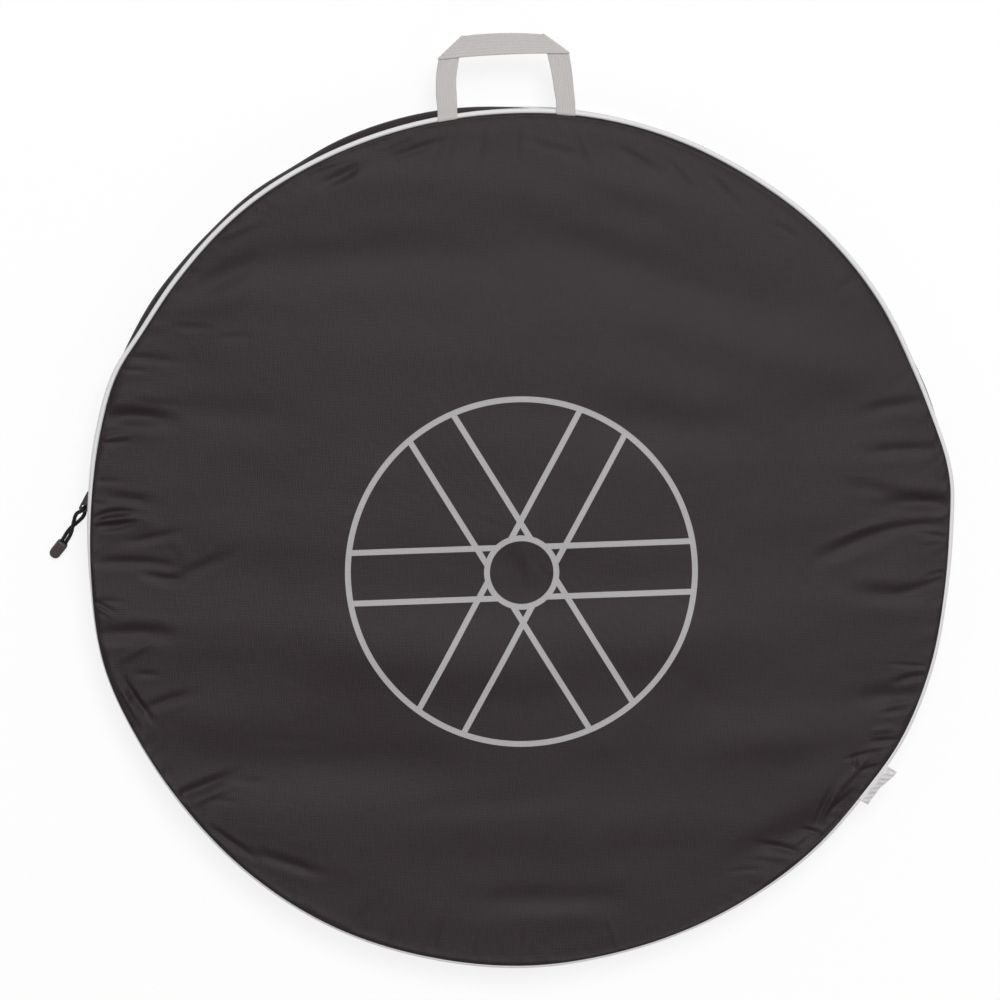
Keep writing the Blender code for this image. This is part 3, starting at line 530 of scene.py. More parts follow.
COIL_NYLON = moulded("coil_nylon", (0.022, 0.021, 0.022), 0.35, 0.0006, 0.00002)
GRIP_RUBBER = moulded("grip_rubber", (0.078, 0.062, 0.060), 0.55, 0.0004, 0.00006)
ENAMEL = enamelled("zip_enamel", (0.018, 0.018, 0.019), (0.42, 0.41, 0.40, 1.0), 0.32)


def dress(obj, slot, *materials):
    obj.data.materials.clear()
    for material in materials:
        obj.data.materials.append(material)
    return obj


def bends_with_flap(obj):
    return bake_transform(obj)


def rides_bag(obj):
    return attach(obj, "bag")


def fit(obj, hold, slot, material, *nodes):
    """Dresses a piece that stands for these nodes, and has hold give it to its body."""
    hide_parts(*nodes)
    dress(obj, slot, material)
    return hold(obj)


def make_pad(name, outside, lining, cloth):
    """A padded disc from rings of its cloth side and rings of its lined side."""
    rings = outside + lining
    mesh = disc_mesh(name, rings)
    pad = add_object(name, mesh)
    outwards(mesh)
    dress(pad, "outer_cloth", cloth, LINING_CLOTH)
    index = np.ones(len(mesh.polygons), np.int32)
    index[:len(joined_rings(outside))] = 0
    mesh.polygons.foreach_set("material_index", index)
    return pad


# The front pad.
RIM_COUNT = 640
OUTER_ROWS_MM = (
    0.35, 1.0, 2.0, 3.4, 5.2, 7.4, 10, 13, 16, 19.5, 23, 27, 31, 35, 39.5, 44, 49, 55,
    62, 70, 79, 89, 100, 112, 125,
)
# Rings of both sides: radius and count of points. They are close where the flap bends.
INNER_RINGS = (
    (0.232, 320), (0.216, 320), (0.200, 320), (0.184, 320), (0.168, 320), (0.154, 320),
    (0.142, 160), (0.132, 160), (0.124, 160), (0.117, 160), (0.111, 160), (0.105, 160), (0.099, 160),
    (0.093, 160), (0.087, 160), (0.081, 160), (0.075, 160), (0.069, 160), (0.063, 160),
    (0.055, 80), (0.044, 80), (0.032, 40), (0.018, 20), (0.0, 1),
)
UNDERSIDE_RINGS = (
    (0.366, 640), (0.360, 640), (0.352, 320), (0.338, 320), (0.322, 320), (0.306, 320), (0.291, 320),
    (0.276, 320), (0.261, 320), (0.246, 320),
) + INNER_RINGS
# The seam's rings: from where the cloth goes in under the piping to where it leaves it.
SEAM_RING_SHARES = (0.0, 0.5, 1.0)
PIPING_GAP = 0.0001
WRAP_START = math.radians(176)
WRAP_END_COSINES = (-0.96, 0.9)
EDGE_RISE = 0.0007
EDGE_FADE = 0.045
# The lined side: its thickness at the edge, where it gets its full thickness, where it sways.
EDGE_THICKNESS = 0.0022
FULL_THICKNESS_INSET = 0.014
LINING_SWAY_RADII = (0.30, 0.366)
# The simulation: how far a point may move at all, and how far down.
SIM_FRAMES = 20
SIM_REACH = 0.006
SIM_SINK = 0.0015
SIM_CLOTH = dict(
    quality=6, mass=0.25, tension_stiffness=20, compression_stiffness=20, shear_stiffness=8,
    bending_stiffness=0.25, air_damping=2, vertex_group_mass="pin", pin_stiffness=0.6,
    vertex_group_shrink="grow", shrink_min=-0.004, shrink_max=-0.045, use_pressure=True,
    uniform_pressure_force=4.0,
)
# How firmly the cloth is held: all along its edge, a little elsewhere, and more near the middle.
HELD_EDGE = 0.002
HELD_ELSEWHERE = 0.012
HELD_MIDDLE = 0.5
HELD_MIDDLE_RADII = (0.16, 0.26)
# How slack the front's cloth is at its rim, from 0 to 1, by angle.
RIM_SLACK = (
    (0, 0.5), (20, 0.3), (45, 0.2), (90, 0.2), (130, 0.35), (150, 0.8), (165, 1.0),
    (185, 1.0), (200, 0.7), (230, 0.5), (270, 0.35), (310, 0.5), (325, 0.9), (345, 0.8),
)


def ring_degrees(count):
    return np.arange(count) * 360.0 / count


def front_height(inset, radius, edge_height=0.0):
    """Height of the front over the seam, by distance in from the edge."""
    into_rim = np.clip(1 - inset / RIM_ROLL, 0, 1)
    roll = edge_height + (RIM_PUFF - edge_height) * np.sqrt(1 - into_rim ** RIM_ROUNDNESS)
    return roll + PANEL_CROWN * (1 - (radius / PANEL_RADIUS) ** 2)


def front_rings():
    """Rings of the front pad's outside, from the seam to the middle."""
    degrees = ring_degrees(RIM_COUNT)
    sway = seam_radius(degrees) - SEAM_RADIUS
    edge = PANEL_RADIUS + sway + along_circle(EDGE_OVERHANG, degrees)
    lift = seam_height(degrees) - FRONT_SEAM_Z
    round_bead = BEAD_RADIUS + PIPING_GAP
    contact = np.arccos(np.clip((edge - SEAM_RADIUS - sway) / round_bead, *WRAP_END_COSINES))
    rings = []
    for share in SEAM_RING_SHARES:
        turn = WRAP_START * (1 - share) + contact * share
        radius = SEAM_RADIUS + sway + round_bead * np.cos(turn)
        rings.append(round_place(degrees, radius, FRONT_SEAM_Z + lift + round_bead * np.sin(turn)))
    edge_height = round_bead * np.sin(contact) + EDGE_RISE
    for inset in OUTER_ROWS_MM:
        inset = inset * MM
        fade = np.exp(-inset / EDGE_FADE)
        radius = PANEL_RADIUS - inset + (edge - PANEL_RADIUS) * fade
        height = FRONT_SEAM_Z + lift * fade + front_height(inset, PANEL_RADIUS - inset, edge_height)
        rings.append(round_place(degrees, radius, height))
    for radius, count in INNER_RINGS:
        height = FRONT_SEAM_Z + front_height(PANEL_RADIUS - radius, radius)
        rings.append(round_place(ring_degrees(count), radius, np.full(count, height)))
    return rings


def simulated(points, faces):
    """The front's cloth, a little too large for its seam and blown up from inside."""
    mesh = bpy.data.meshes.new("front_cloth_simulation")
    mesh.from_pydata(points.tolist(), [], faces)
    obj = add_object("front_cloth_simulation", mesh)
    radius = np.hypot(points[:, 0], points[:, 1])
    inner = HELD_ELSEWHERE + HELD_MIDDLE * (1 - ease(*HELD_MIDDLE_RADII, radius))
    held = np.where(radius > PANEL_RADIUS - HELD_EDGE, 1.0, inner)
    held[:RIM_COUNT * len(SEAM_RING_SHARES)] = 1.0
    degrees = np.degrees(np.arctan2(points[:, 1], points[:, 0]))
    slack = along_circle(RIM_SLACK, degrees) / MM
    pin = obj.vertex_groups.new(name="pin")
    grow = obj.vertex_groups.new(name="grow")
    for i, (weight, share) in enumerate(zip(held, slack)):
        pin.add([i], float(weight), "REPLACE")
        grow.add([i], float(np.clip(share, 0, 1)), "REPLACE")
    cloth = obj.modifiers.new("cloth", "CLOTH")
    for key, value in SIM_CLOTH.items():
        setattr(cloth.settings, key, value)
    cloth.settings.effector_weights.gravity = 0
    cloth.point_cache.frame_start = 1
    cloth.point_cache.frame_end = SIM_FRAMES
    scene = bpy.context.scene
    for step in range(SIM_FRAMES):
        scene.frame_set(step + 1)
    graph = bpy.context.evaluated_depsgraph_get()
    result = obj.evaluated_get(graph).data
    moved = np.empty(len(points) * 3, np.float32)
    result.vertices.foreach_get("co", moved)
    scene.frame_set(1)
    bpy.data.objects.remove(obj, do_unlink=True)
    shift = moved.reshape(-1, 3) - points
    length = np.linalg.norm(shift, axis=1, keepdims=True)
    shift *= np.minimum(1, SIM_REACH / np.maximum(length, 1e-9))
    sunk = np.minimum(shift[:, 2], 0)
    shift[:, 2] += SIM_SINK * np.tanh(sunk / SIM_SINK) - sunk
    return points + shift


# Folds of the front: x and y of the middle, direction in degrees, half length, half width,
# height (less than 0 for a valley) and how far the ends bow towards the left of the direction.
FRONT_FOLDS_MM = (
    # Broad waves left by storing the bag folded.
    (-130, -88, -6, 230, 42, 3.4, 5), (-200, -186, -2, 140, 38, -2.8, 0),
    (160, -84, 2, 170, 42, 2.1, 0), (-130, 250, 2, 125, 28, -2.7, -6),
    (-125, 314, 6, 100, 22, 1.4, -10), (100, 236, -22, 120, 30, -2.5, 0),
    (110, 302, -22, 105, 22, 1.3, 0), (215, 158, -16, 95, 32, 1.9, 0), (-243, 240, 28, 34, 12, -2.0, 0),
    (-250, 222, 14, 42, 16, 1.2, 0), (132, 98, -8, 64, 22, -1.7, 0), (15, -314, -2, 60, 14, -1.7, 0),
    (-40, -228, 2, 70, 11, -0.8, 0), (225, -176, 6, 80, 26, 1.9, 0), (236, -262, 22, 56, 20, -2.8, 0),
    (-245, 120, -5, 60, 18, -1.1, 0), (30, 20, 12, 130, 50, 1.0, 0), (-60, 168, 8, 150, 34, 1.0, 0),
    # Creases along the left rim.
    (-326, 121, -4, 26, 10, -4.2, -1.8), (-312, 132, -8, 20, 6, -0.9, 0),
    (-312, 170, -6, 20, 5, -1.0, 0), (-330, 161, -4, 11, 2.4, -0.9, 0),
    (-350, 109, 13, 13, 2.3, -0.9, -1.2), (-348, 104, 8, 12, 2.2, 0.9, -1),
    (-345, 99, 1, 12, 2.6, -1.0, 1), (-355, 66, -4, 12, 3, -0.7, 0), (-337, 50, -8, 19, 6.5, -1.6, 0),
    (-362, 47, -8, 8, 2.3, -0.7, 0), (-350, 39, 7, 19, 3.6, -2.1, -3),
    (-350, 33, 5, 18, 2.5, 1.5, -1.6), (-347, 27, 6, 19, 4.6, -2.4, 3), (-325, 31, -8, 14, 9, 0.9, 0),
    (-319, 15, 10, 21, 5, -1.5, 1.2), (-294, 6, -62, 10, 4.8, 0.7, 0),
    (-334, -5, -4, 31, 5.8, -2.0, -2), (-310, -20, -14, 19, 5.6, -1.8, 1.2),
    (-276, -12, 24, 28, 7, -1.8, 1.8), (-363, -41, -31, 10, 2.2, -1.6, 0),
    (-362, -46, -32, 9, 2.2, 1.0, 0), (-355, -38, -6, 11, 2.4, -0.8, 0),
    (-337, -66, 0, 31, 9, -3.0, -2.6), (-349, -74, 0, 16, 4, -0.9, 0), (-335, -82, 28, 17, 4.4, 1.1, 0),
    (-326, -103, -5, 9, 3.4, -1.0, 0), (-336, -125, -58, 20, 3.6, -2.3, 1),
    (-342, -129, -62, 18, 2.6, 1.2, 0), (-311, -127, 18, 20, 6, -2.0, -0.8),
    (-283, -203, 20, 26, 6, -2.6, 0), (-278, -212, 22, 21, 4.2, 0.9, 0),
    (-242, -200, -10, 13, 4.2, -0.8, 0), (-266, -216, -6, 12, 3, -0.6, 0),
    (-258, -253, -37, 22, 4, -1.5, 0), (-211, -273, -20, 27, 6, -1.7, 0),
    (-204, -165, -2, 20, 4.4, -0.5, 0),
    # Creases along the upper left and the top.
    (-142, 322, 24, 19, 6, -2.3, 0), (-150, 333, 18, 17, 3.6, 0.9, 0), (-126, 328, 46, 15, 5, 0.7, 0),
    (-81, 341, 17, 23, 4.8, -1.4, 0), (-93, 350, 22, 18, 4, 0.9, 0), (-42, 350, 66, 16, 4.6, 0.7, 0),
    (-232, 279, 25, 15, 4.8, 1.0, 0), (-239, 186, 8, 11, 4, -0.9, 0), (-276, 196, -2, 14, 4, -0.7, 0),
    (40, 338, -18, 22, 5, -0.7, 0), (112, 326, -34, 20, 5, -0.8, 0), (186, 296, -48, 18, 4.6, -0.7, 0),
    # Creases along the right rim.
    (347, 23, -3, 29, 9, -3.5, -0.8), (313, 35, -12, 30, 7, -0.8, 0), (287, -11, 21, 31, 8.6, -2.4, -2),
    (339, 3, 5, 30, 5.2, -1.4, -2.6), (293, 1, 19, 29, 4.6, 0.6, -1.6),
    (356, -5, -12, 13, 2.4, -1.0, 0), (357, -11, -5, 12, 2.2, 0.6, 0),
    (360, -39, 12, 10, 2.2, -1.1, -0.6), (318, -56, -4, 30, 10, -2.0, 1.2),
    (346, -50, 16, 22, 5, -1.0, 0), (328, 108, 7, 25, 7, -1.4, -1), (331, 69, 1, 27, 7, -1.6, 0),
    (336, -119, -6, 17, 2.4, -1.0, 0), (335, -130, 11, 15, 4.8, -1.8, -0.8),
    (318, -145, 2, 28, 11, -2.0, 0), (322, -159, 6, 12, 3, -1.3, 0), (324, -152, 8, 13, 2.6, 1.0, -1.5),
    (311, -174, 6, 10, 3.8, 0.9, 0), (311, -184, 2, 12, 2.6, -1.4, 0), (305, -190, 4, 10, 2.2, 0.9, 0),
    (300, 222, 34, 20, 5, -0.6, 0),
    # The dents where the label's end pulls at the seam.
    (287, -197, 12, 10, 2.4, -1.5, 0), (285, -203, -90, 9, 2.2, -1.5, 0),
    (284, -211, 46, 15, 3.6, 1.4, 0), (263, -237, 57, 16, 3.6, 1.5, 0), (256, -242, 66, 15, 3, -1.6, 0),
    (273, -236, 42, 12, 2.3, -1.5, 0), (297, -208, 12, 7, 2.2, -1.3, 0),
    (245, -262, -16, 9, 2.8, -1.6, 0), (236, -269, 34, 7, 2.8, 1.0, 0),
    (217, -275, -15, 17, 4, -1.9, -0.6), (210, -283, -9, 16, 3.8, 0.8, 0),
    (187, -294, 1, 13, 2.4, -0.7, 0),
    # Small creases along the bottom and the top.
    (-150, -322, 58, 12, 3.4, -0.7, 0), (-118, -334, 62, 13, 3.2, 0.7, 0),
    (-84, -342, 70, 13, 3.2, -0.7, 0), (-48, -350, 76, 11, 3, 0.6, 0),
    (-12, -350, 84, 12, 3.2, -0.5, 0), (70, -344, 108, 12, 3.6, 0.5, 0), (-62, 338, 62, 16, 4, -0.8, 0),
    (-18, 344, 78, 15, 4, 0.8, 0), (8, 346, 86, 13, 3.4, -0.6, 0), (66, 340, 112, 14, 3.8, 0.6, 0),
    (150, 316, 130, 13, 3.6, 0.6, 0), (236, 262, 148, 13, 3.6, -0.6, 0),
)
# How high the short gathers stand along the rim, by angle.
RIM_GATHERS = (
    (0, 0.5), (8, 0.65), (16, 0.4), (25, 0.2), (45, 0.14), (75, 0.14), (95, 0.22), (115, 0.28),
    (140, 0.3), (160, 0.45), (175, 0.5), (190, 0.55), (203, 0.7), (215, 0.5), (232, 0.3),
    (250, 0.2), (270, 0.22), (290, 0.16), (308, 0.35), (321, 0.65), (332, 0.5), (344, 0.28),
)
GATHER_WIDTH = 0.0080
GATHER_REACH = 0.015
# How slowly the gathers change on their way in, how they slant, and how sharply they end.
GATHER_CHANGE = 0.03
GATHER_SLANT = 90
GATHER_FALL = 1.5
# The cloth's own unevenness: length, breadth and height of its waves.
CLOTH_WAVES = ((0.120, 0.055, 0.0016), (0.040, 0.026, 0.00042), (0.016, 0.011, 0.00009))
# How far in from the edge the folds, the waves and the gathers reach their full height.
FOLD_INSETS = (0.0, 0.0055)
WAVE_INSETS = (0.004, 0.05)
GATHER_INSETS = (0.0, 0.004)
# Heights over the seam between which the cloth starts to bulge out over the piping.
BULGE_HEIGHTS = (0.0020, 0.0030)


def fold_height(x, y):
    """Height of the folds at places on the front."""
    height = np.zeros(len(x))
    for fold in FRONT_FOLDS_MM:
        middle_x, middle_y, direction, length, width, rise, bow = fold
        turn = math.radians(direction)
        dx, dy = x / MM - middle_x, y / MM - middle_y
        along = (dx * math.cos(turn) + dy * math.sin(turn)) / length
        across = (dy * math.cos(turn) - dx * math.sin(turn) - bow * along ** 2) / width
        height += rise * MM * (1 - across ** 2) * np.exp(-across ** 2 - np.abs(along) ** 3)
    return height


def wave_height(x, y):
    """Height of the cloth's own waves."""
    height = np.zeros(len(x))
    for length, breadth, rise in CLOTH_WAVES:
        height += rise * np.array([noise.noise((u / length, v / breadth, length)) for u, v in zip(x, y)])
    return height


def gather_height(degrees, inset):
    """Height of the short gathers that run in from the rim."""
    turn = np.radians(degrees + GATHER_SLANT * inset)
    place = np.stack((np.cos(turn) * SEAM_RADIUS, np.sin(turn) * SEAM_RADIUS), 1) / GATHER_WIDTH
    wave = np.array([noise.noise((*p, depth / GATHER_CHANGE)) for p, depth in zip(place, inset)])
    fade = np.exp(-(inset / GATHER_REACH) ** GATHER_FALL)
    return 2 * along_circle(RIM_GATHERS, degrees) * wave * fade


def folded(points):
    """Lays the folds, gathers and waves into the front pad, whose rim stays in its seam."""
    x, y = points[:, 0], points[:, 1]
    degrees = np.degrees(np.arctan2(y, x))
    over_piping = ease(*BULGE_HEIGHTS, points[:, 2] - seam_height(degrees))
    edge = PANEL_RADIUS + seam_radius(degrees) - SEAM_RADIUS
    edge += along_circle(EDGE_OVERHANG, degrees) * over_piping
    inset = np.maximum(0, edge - np.hypot(x, y))
    height = fold_height(x, y) * ease(*FOLD_INSETS, inset) + wave_height(x, y) * ease(*WAVE_INSETS, inset)
    moved = points.copy()
    moved[:, 2] += height + gather_height(degrees, inset) * ease(*GATHER_INSETS, inset)
    return moved


def reshaped(obj, change):
    """Gives the object the mesh that its modifiers make, with its points changed."""
    graph = bpy.context.evaluated_depsgraph_get()
    mesh = bpy.data.meshes.new_from_object(obj.evaluated_get(graph))
    obj.modifiers.clear()
    obj.data = mesh
    points = np.empty(len(mesh.vertices) * 3, np.float32)
    mesh.vertices.foreach_get("co", points)
    mesh.vertices.foreach_set("co", change(points.reshape(-1, 3)).ravel())
    mesh.update()
    mesh.shade_smooth()


def make_front_pad():
    rings = front_rings()
    counts = [len(ring) for ring in rings]
    points = np.concatenate(rings)
    points = simulated(points, joined_rings(rings))
    top = np.split(points, np.cumsum(counts)[:-1])
    sway = seam_radius(ring_degrees(RIM_COUNT)) - SEAM_RADIUS
    lining = []
    for radius, count in UNDERSIDE_RINGS:
        reach = radius + sway[::RIM_COUNT // count] * ease(*LINING_SWAY_RADII, radius)
        inset = max(0.0, PANEL_RADIUS - radius)
        full = ease(0.0, FULL_THICKNESS_INSET, inset)
        drop = PAD_THICKNESS * full + EDGE_THICKNESS * (1 - full)
        height = FRONT_SEAM_Z + front_height(inset, radius) - drop
        lining.append(round_place(ring_degrees(count), reach, np.full(count, height)))
    pad = make_pad("front_pad", top[::-1], lining, FRONT_CLOTH)
    subdivided(pad)
    reshaped(pad, folded)
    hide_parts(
        "front_panel_flap", "front_panel_lower", "front_foam_flap", "front_foam_lower",
        "front_lining_flap", "front_lining_lower",
    )
    bends_with_flap(pad)


# The piping.

PIPING_SIDES = 12
PIPING_STEPS = 720


def bead(name, radius, height):
    """Piping along a seam whose radius and height are given by angle."""
    def profile(degrees):
        turn = np.arange(PIPING_SIDES) * math.tau / PIPING_SIDES
        return radius(degrees) + BEAD_RADIUS * np.cos(turn), height(degrees) + BEAD_RADIUS * np.sin(turn)

    return swept(name, np.linspace(0, 360, PIPING_STEPS + 1), profile, wrap=True)


def make_piping():
    front = bead("front_piping_cord", seam_radius, seam_height)
    fit(front, bends_with_flap, "piping", PIPING_SKIN, "front_piping_flap", "front_piping_lower")
    back = bead("back_piping_cord", lambda a: SEAM_RADIUS + back_sway(a), lambda a: BACK_SEAM_Z + 0 * a)
    fit(back, rides_bag, "piping", PIPING_SKIN, "back_piping")


# The gusset. Its walls' edges are tucked into the seams, and follow the front seam's height.
SEAM_TUCK = 0.0014
LIFT_START = 0.0125
WALL_TOP = ZIP_Z + GUSSET_HALF + SEAM_TUCK
WALL_BOTTOM = ZIP_Z - GUSSET_HALF - SEAM_TUCK
# Angles of the two strips and of the lower wall.
UPPER = np.linspace(6.25, 173.75, 481)
LOWER = np.linspace(173.82, 366.18, 541)
# From this far off the zip's middle the walls sway with the seams.
SWAY_START = STRIP_INSET + 0.002
# How far the slack cloth's crest lies towards the zip, and how sharp it is.
SLACK_SKEW = 0.8
SLACK_SHARPNESS = 1.2
# Dents of the lower wall: depth, waves round the bag, shift, and how far the waves wander.
WALL_DENTS = ((0.0011, 9, 1.1, 0.0), (0.0008, 23, 0.0, 0.4), (0.0005, 47, 2.0, 0.0))
# How far below the middle of the bag the dents start and are full.
DENT_RANGE = (-0.02, 0.10)


def wall_radius(height):
    share = (height - ZIP_Z) / GUSSET_HALF
    return GUSSET_SEAM_RADIUS - GUSSET_DRAW_IN * (1 - share ** 2)


def hard_wall(degrees, height):
    return wall_radius(height) + 0 * degrees


def soft_wall(degrees, height):
    """Radius of the gusset's outside: the CAD wall, the seams' sway, slack cloth and dents."""
    turn = np.radians(degrees)
    front = ease(SWAY_START, GUSSET_HALF, height - ZIP_Z)
    back = ease(SWAY_START, GUSSET_HALF, ZIP_Z - height)
    sway = along_circle(FRONT_SWAY, degrees) * front + back_sway(degrees) * back
    share = np.clip((height - ZIP_Z - STRIP_INSET) / (GUSSET_HALF - STRIP_INSET), 0, 1)
    slack = along_circle(STRIP_SLACK, degrees) * np.sin(math.pi * share ** SLACK_SKEW) ** SLACK_SHARPNESS
    dents = sum(
        rise * np.sin(waves * turn + shift + wander * np.sin(5 * turn))
        for rise, waves, shift, wander in WALL_DENTS
    )
    below = ease(*DENT_RANGE, -GUSSET_SEAM_RADIUS * np.sin(turn))
    depth = np.clip((height - BACK_SEAM_Z) / (FRONT_SEAM_Z - BACK_SEAM_Z), 0, 1)
    return wall_radius(height) + sway + slack + below * dents * np.sin(math.pi * depth)


def band(name, degrees, low, high, rows, inset=0.0, thickness=GUSSET_CLOTH, radius=soft_wall):
    """A band of cloth round the bag, between two heights, closed on its inside."""
    heights = np.linspace(high, low, rows + 1)

    def profile(at):
        outer = radius(at, heights[None, :]) - inset
        inner = outer[:, ::-1] - thickness
        z = np.concatenate((heights, heights[::-1]))[None, :]
        lift = along_circle(SEAM_LIFT, at) * ease(LIFT_START, GUSSET_HALF, z - ZIP_Z)
        return np.concatenate((outer, inner), 1), z + lift

    return swept(name, degrees, profile)


def make_gusset():
    front = band("front_strip", UPPER, ZIP_Z + STRIP_INSET, WALL_TOP, 10)
    fit(front, bends_with_flap, "outer_cloth", SIDE_CLOTH, "gusset_strip_front_flap",
        "gusset_strip_front_left_end", "gusset_strip_front_right_end")
    back = band("back_strip", UPPER, WALL_BOTTOM, ZIP_Z - STRIP_INSET, 10)
    fit(back, rides_bag, "outer_cloth", SIDE_CLOTH, "gusset_strip_back")
    lower = band("lower_wall", LOWER, WALL_BOTTOM, WALL_TOP, 18)
    fit(lower, rides_bag, "outer_cloth", SIDE_CLOTH, "lower_gusset")


# The zip.

COIL_PITCH = 0.0014
COIL_STEPS = 4
# The coil's outline from edge to edge, how round it is, and how far its height and width vary.
COIL_OUTLINE = np.radians((-20, 15, 50, 90, 130, 165, 200))
COIL_ROUNDNESS = 0.7
TOOTH_HEIGHT = 0.45
TOOTH_WIDTH = 0.18


def make_tapes():
    inset = GUSSET_CLOTH + SEAT_GAP
    near = COIL_SPLIT / 2
    front = band("front_tape", UPPER, ZIP_Z + near, ZIP_Z + TAPE_REACH, 4, inset, TAPE_CLOTH, hard_wall)
    fit(front, bends_with_flap, "zip_tape", TAPE_WEAVE, "zip_tape_front_flap",
        "zip_tape_front_left_end", "zip_tape_front_right_end")
    back = band("back_tape", UPPER, ZIP_Z - TAPE_REACH, ZIP_Z - near, 4, inset, TAPE_CLOTH, hard_wall)
    fit(back, rides_bag, "zip_tape", TAPE_WEAVE, "zip_tape_back")


def coil_row(name, low, high, offset):
    """A row of teeth: a rounded rib whose height rises and falls with each turn of the coil."""
    start = math.degrees(math.asin(COIL_START_Y / TAPE_RADIUS))
    teeth = int(math.radians(180 - 2 * start) * TAPE_RADIUS / COIL_PITCH)
    degrees = np.linspace(start, 180 - start, teeth * COIL_STEPS + 1)
    phase = (np.arange(len(degrees)) / COIL_STEPS + offset) * math.tau
    valley = (0.5 - 0.5 * np.cos(phase))[:, None]

    def profile(at):
        rise = COIL_HEIGHT * np.maximum(0, np.sin(COIL_OUTLINE)) ** COIL_ROUNDNESS
        across = (high - low) / 2 * np.cos(COIL_OUTLINE)
        height = ZIP_Z + (high + low) / 2 + across * (1 - TOOTH_WIDTH * valley)
        return TAPE_RADIUS + SEAT_GAP + rise * (1 - TOOTH_HEIGHT * valley), height

    return swept(name, degrees, profile)


def make_coils():
    near = COIL_SPLIT / 2
    front = coil_row("front_coil", near, COIL_REACH, 0.0)
    fit(front, bends_with_flap, "zip_coil", COIL_NYLON, "zip_coil_front_flap",
        "zip_coil_front_left_end", "zip_coil_front_right_end")
    back = coil_row("back_coil", -COIL_REACH, -near, 0.5)
    fit(back, rides_bag, "zip_coil", COIL_NYLON, "zip_coil_back")


# The back pad. Rings of its outside, its rounded edge and its lining, as for the front pad.
BACK_RINGS = (
    (0.0, 1), (0.06, 40), (0.12, 80), (0.18, 160), (0.24, 160), (0.30, 320), (0.34, 320),
    (0.358, 320),
)
BACK_EDGE_SHARES = (0.35, 0.7, 0.92, 1.0)
BACK_LINING_RINGS = (
    (0.362, 320), (0.352, 320), (0.33, 320), (0.30, 320), (0.27, 160), (0.24, 160), (0.20, 160),
    (0.16, 160), (0.12, 80), (0.08, 80), (0.04, 40), (0.0, 1),
)
# Where the edge turns in to the lining, in from the panel's edge and up from the seam.
BACK_TURN_IN = (0.001, 0.0012)
# The lining's puffs: height, where they come in and go out, and where they lie between.
PUFF_HEIGHT = 0.0006
PUFF_START = (0.02, 0.1)
PUFF_END = (0.33, 0.362)
PUFF_LEVEL = BACK_LINING_TOP - 0.0008


def make_back_pad():
    outside = [round_place(ring_degrees(count), radius, np.zeros(count)) for radius, count in BACK_RINGS]
    degrees = ring_degrees(BACK_RINGS[-1][1])
    sway = back_sway(degrees)
    for share in BACK_EDGE_SHARES:
        height = BACK_SEAM_Z * (1 - math.sqrt(1 - share ** 2))
        radius = PANEL_RADIUS - BACK_RIM_ROLL * (1 - share) + sway * share
        outside.append(round_place(degrees, radius, height))
    inset, rise = BACK_TURN_IN
    lining = [round_place(degrees, PANEL_RADIUS + sway - inset, BACK_SEAM_Z + rise)]
    for radius, count in BACK_LINING_RINGS:
        at = ring_degrees(count)
        turn = np.radians(at)
        wave = np.sin(radius * 90 + 3 * np.sin(2 * turn)) * np.sin(5 * turn + radius * 20)
        puff = PUFF_HEIGHT * wave * ease(*PUFF_START, radius) * (1 - ease(*PUFF_END, radius))
        lining.append(round_place(at, radius, PUFF_LEVEL + puff))
    pad = make_pad("back_pad", outside, lining, SIDE_CLOTH)
    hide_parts("back_panel", "back_foam", "back_lining")
    rides_bag(pad)


# Bindings over the seam allowances, inside the bag.

BINDING_STEPS = 1080
BINDING_RADIUS = 0.3694
BINDING_DEPTH = 0.0030
BINDING_ROUNDING = 0.0006
# Where its corners start to round, as a share of a quarter of its height.
BINDING_CORNER = 0.4
FRONT_BINDING_HEIGHTS = (0.0549, 0.0594)
BACK_BINDING_HEIGHTS = (0.0074, 0.0108)
# Ripples of the bindings: height, waves round the bag, and how far and how often they wander.
RIPPLES = ((0.00035, 140, 1.3, 17), (0.0002, 61, 0.0, 0))
RIPPLE_RISE = 0.4


def binding(name, low, high):
    """A rolled strip whose cloth is drawn into small ripples."""
    middle, quarter = (low + high) / 2, (high - low) / 4
    corner = quarter * BINDING_CORNER
    heights = np.array((high, low, low + corner, middle - quarter, middle + quarter, high - corner))

    def profile(degrees):
        turn = np.radians(degrees)
        ripple = sum(
            size * np.sin(waves * turn + wander * np.sin(often * turn))
            for size, waves, wander, often in RIPPLES
        )
        inner = BINDING_RADIUS - BINDING_DEPTH + ripple
        outer, rounded = BINDING_RADIUS + 0 * inner, inner + BINDING_ROUNDING
        radius = np.concatenate((outer, outer, rounded, inner, inner, rounded), 1)
        return radius, heights[None, :] + ripple * RIPPLE_RISE

    return swept(name, np.linspace(0, 360, BINDING_STEPS + 1), profile, wrap=True)


def make_bindings():
    front = binding("front_binding", *FRONT_BINDING_HEIGHTS)
    fit(front, bends_with_flap, "lining", BINDING_WEAVE, "front_seam_binding_flap",
        "front_seam_binding_lower")
    back = binding("back_binding", *BACK_BINDING_HEIGHTS)
    fit(back, rides_bag, "lining", BINDING_WEAVE, "back_seam_binding")


# Stitching.

STITCH_LENGTH = 0.0027
STITCH_GAP = 0.0011
THREAD_RADIUS = 0.00024
THREAD_SIDES = 6
# A stitch's rings: share of its length, and thickness and lift in radii of the thread.
STITCH_RINGS = ((0.0, 0.4, -0.6), (0.18, 1.0, 0.45), (0.82, 1.0, 0.45), (1.0, 0.4, -0.6))
# How far the rows beside the zip lie from its middle.
STITCH_ROW = 0.0088


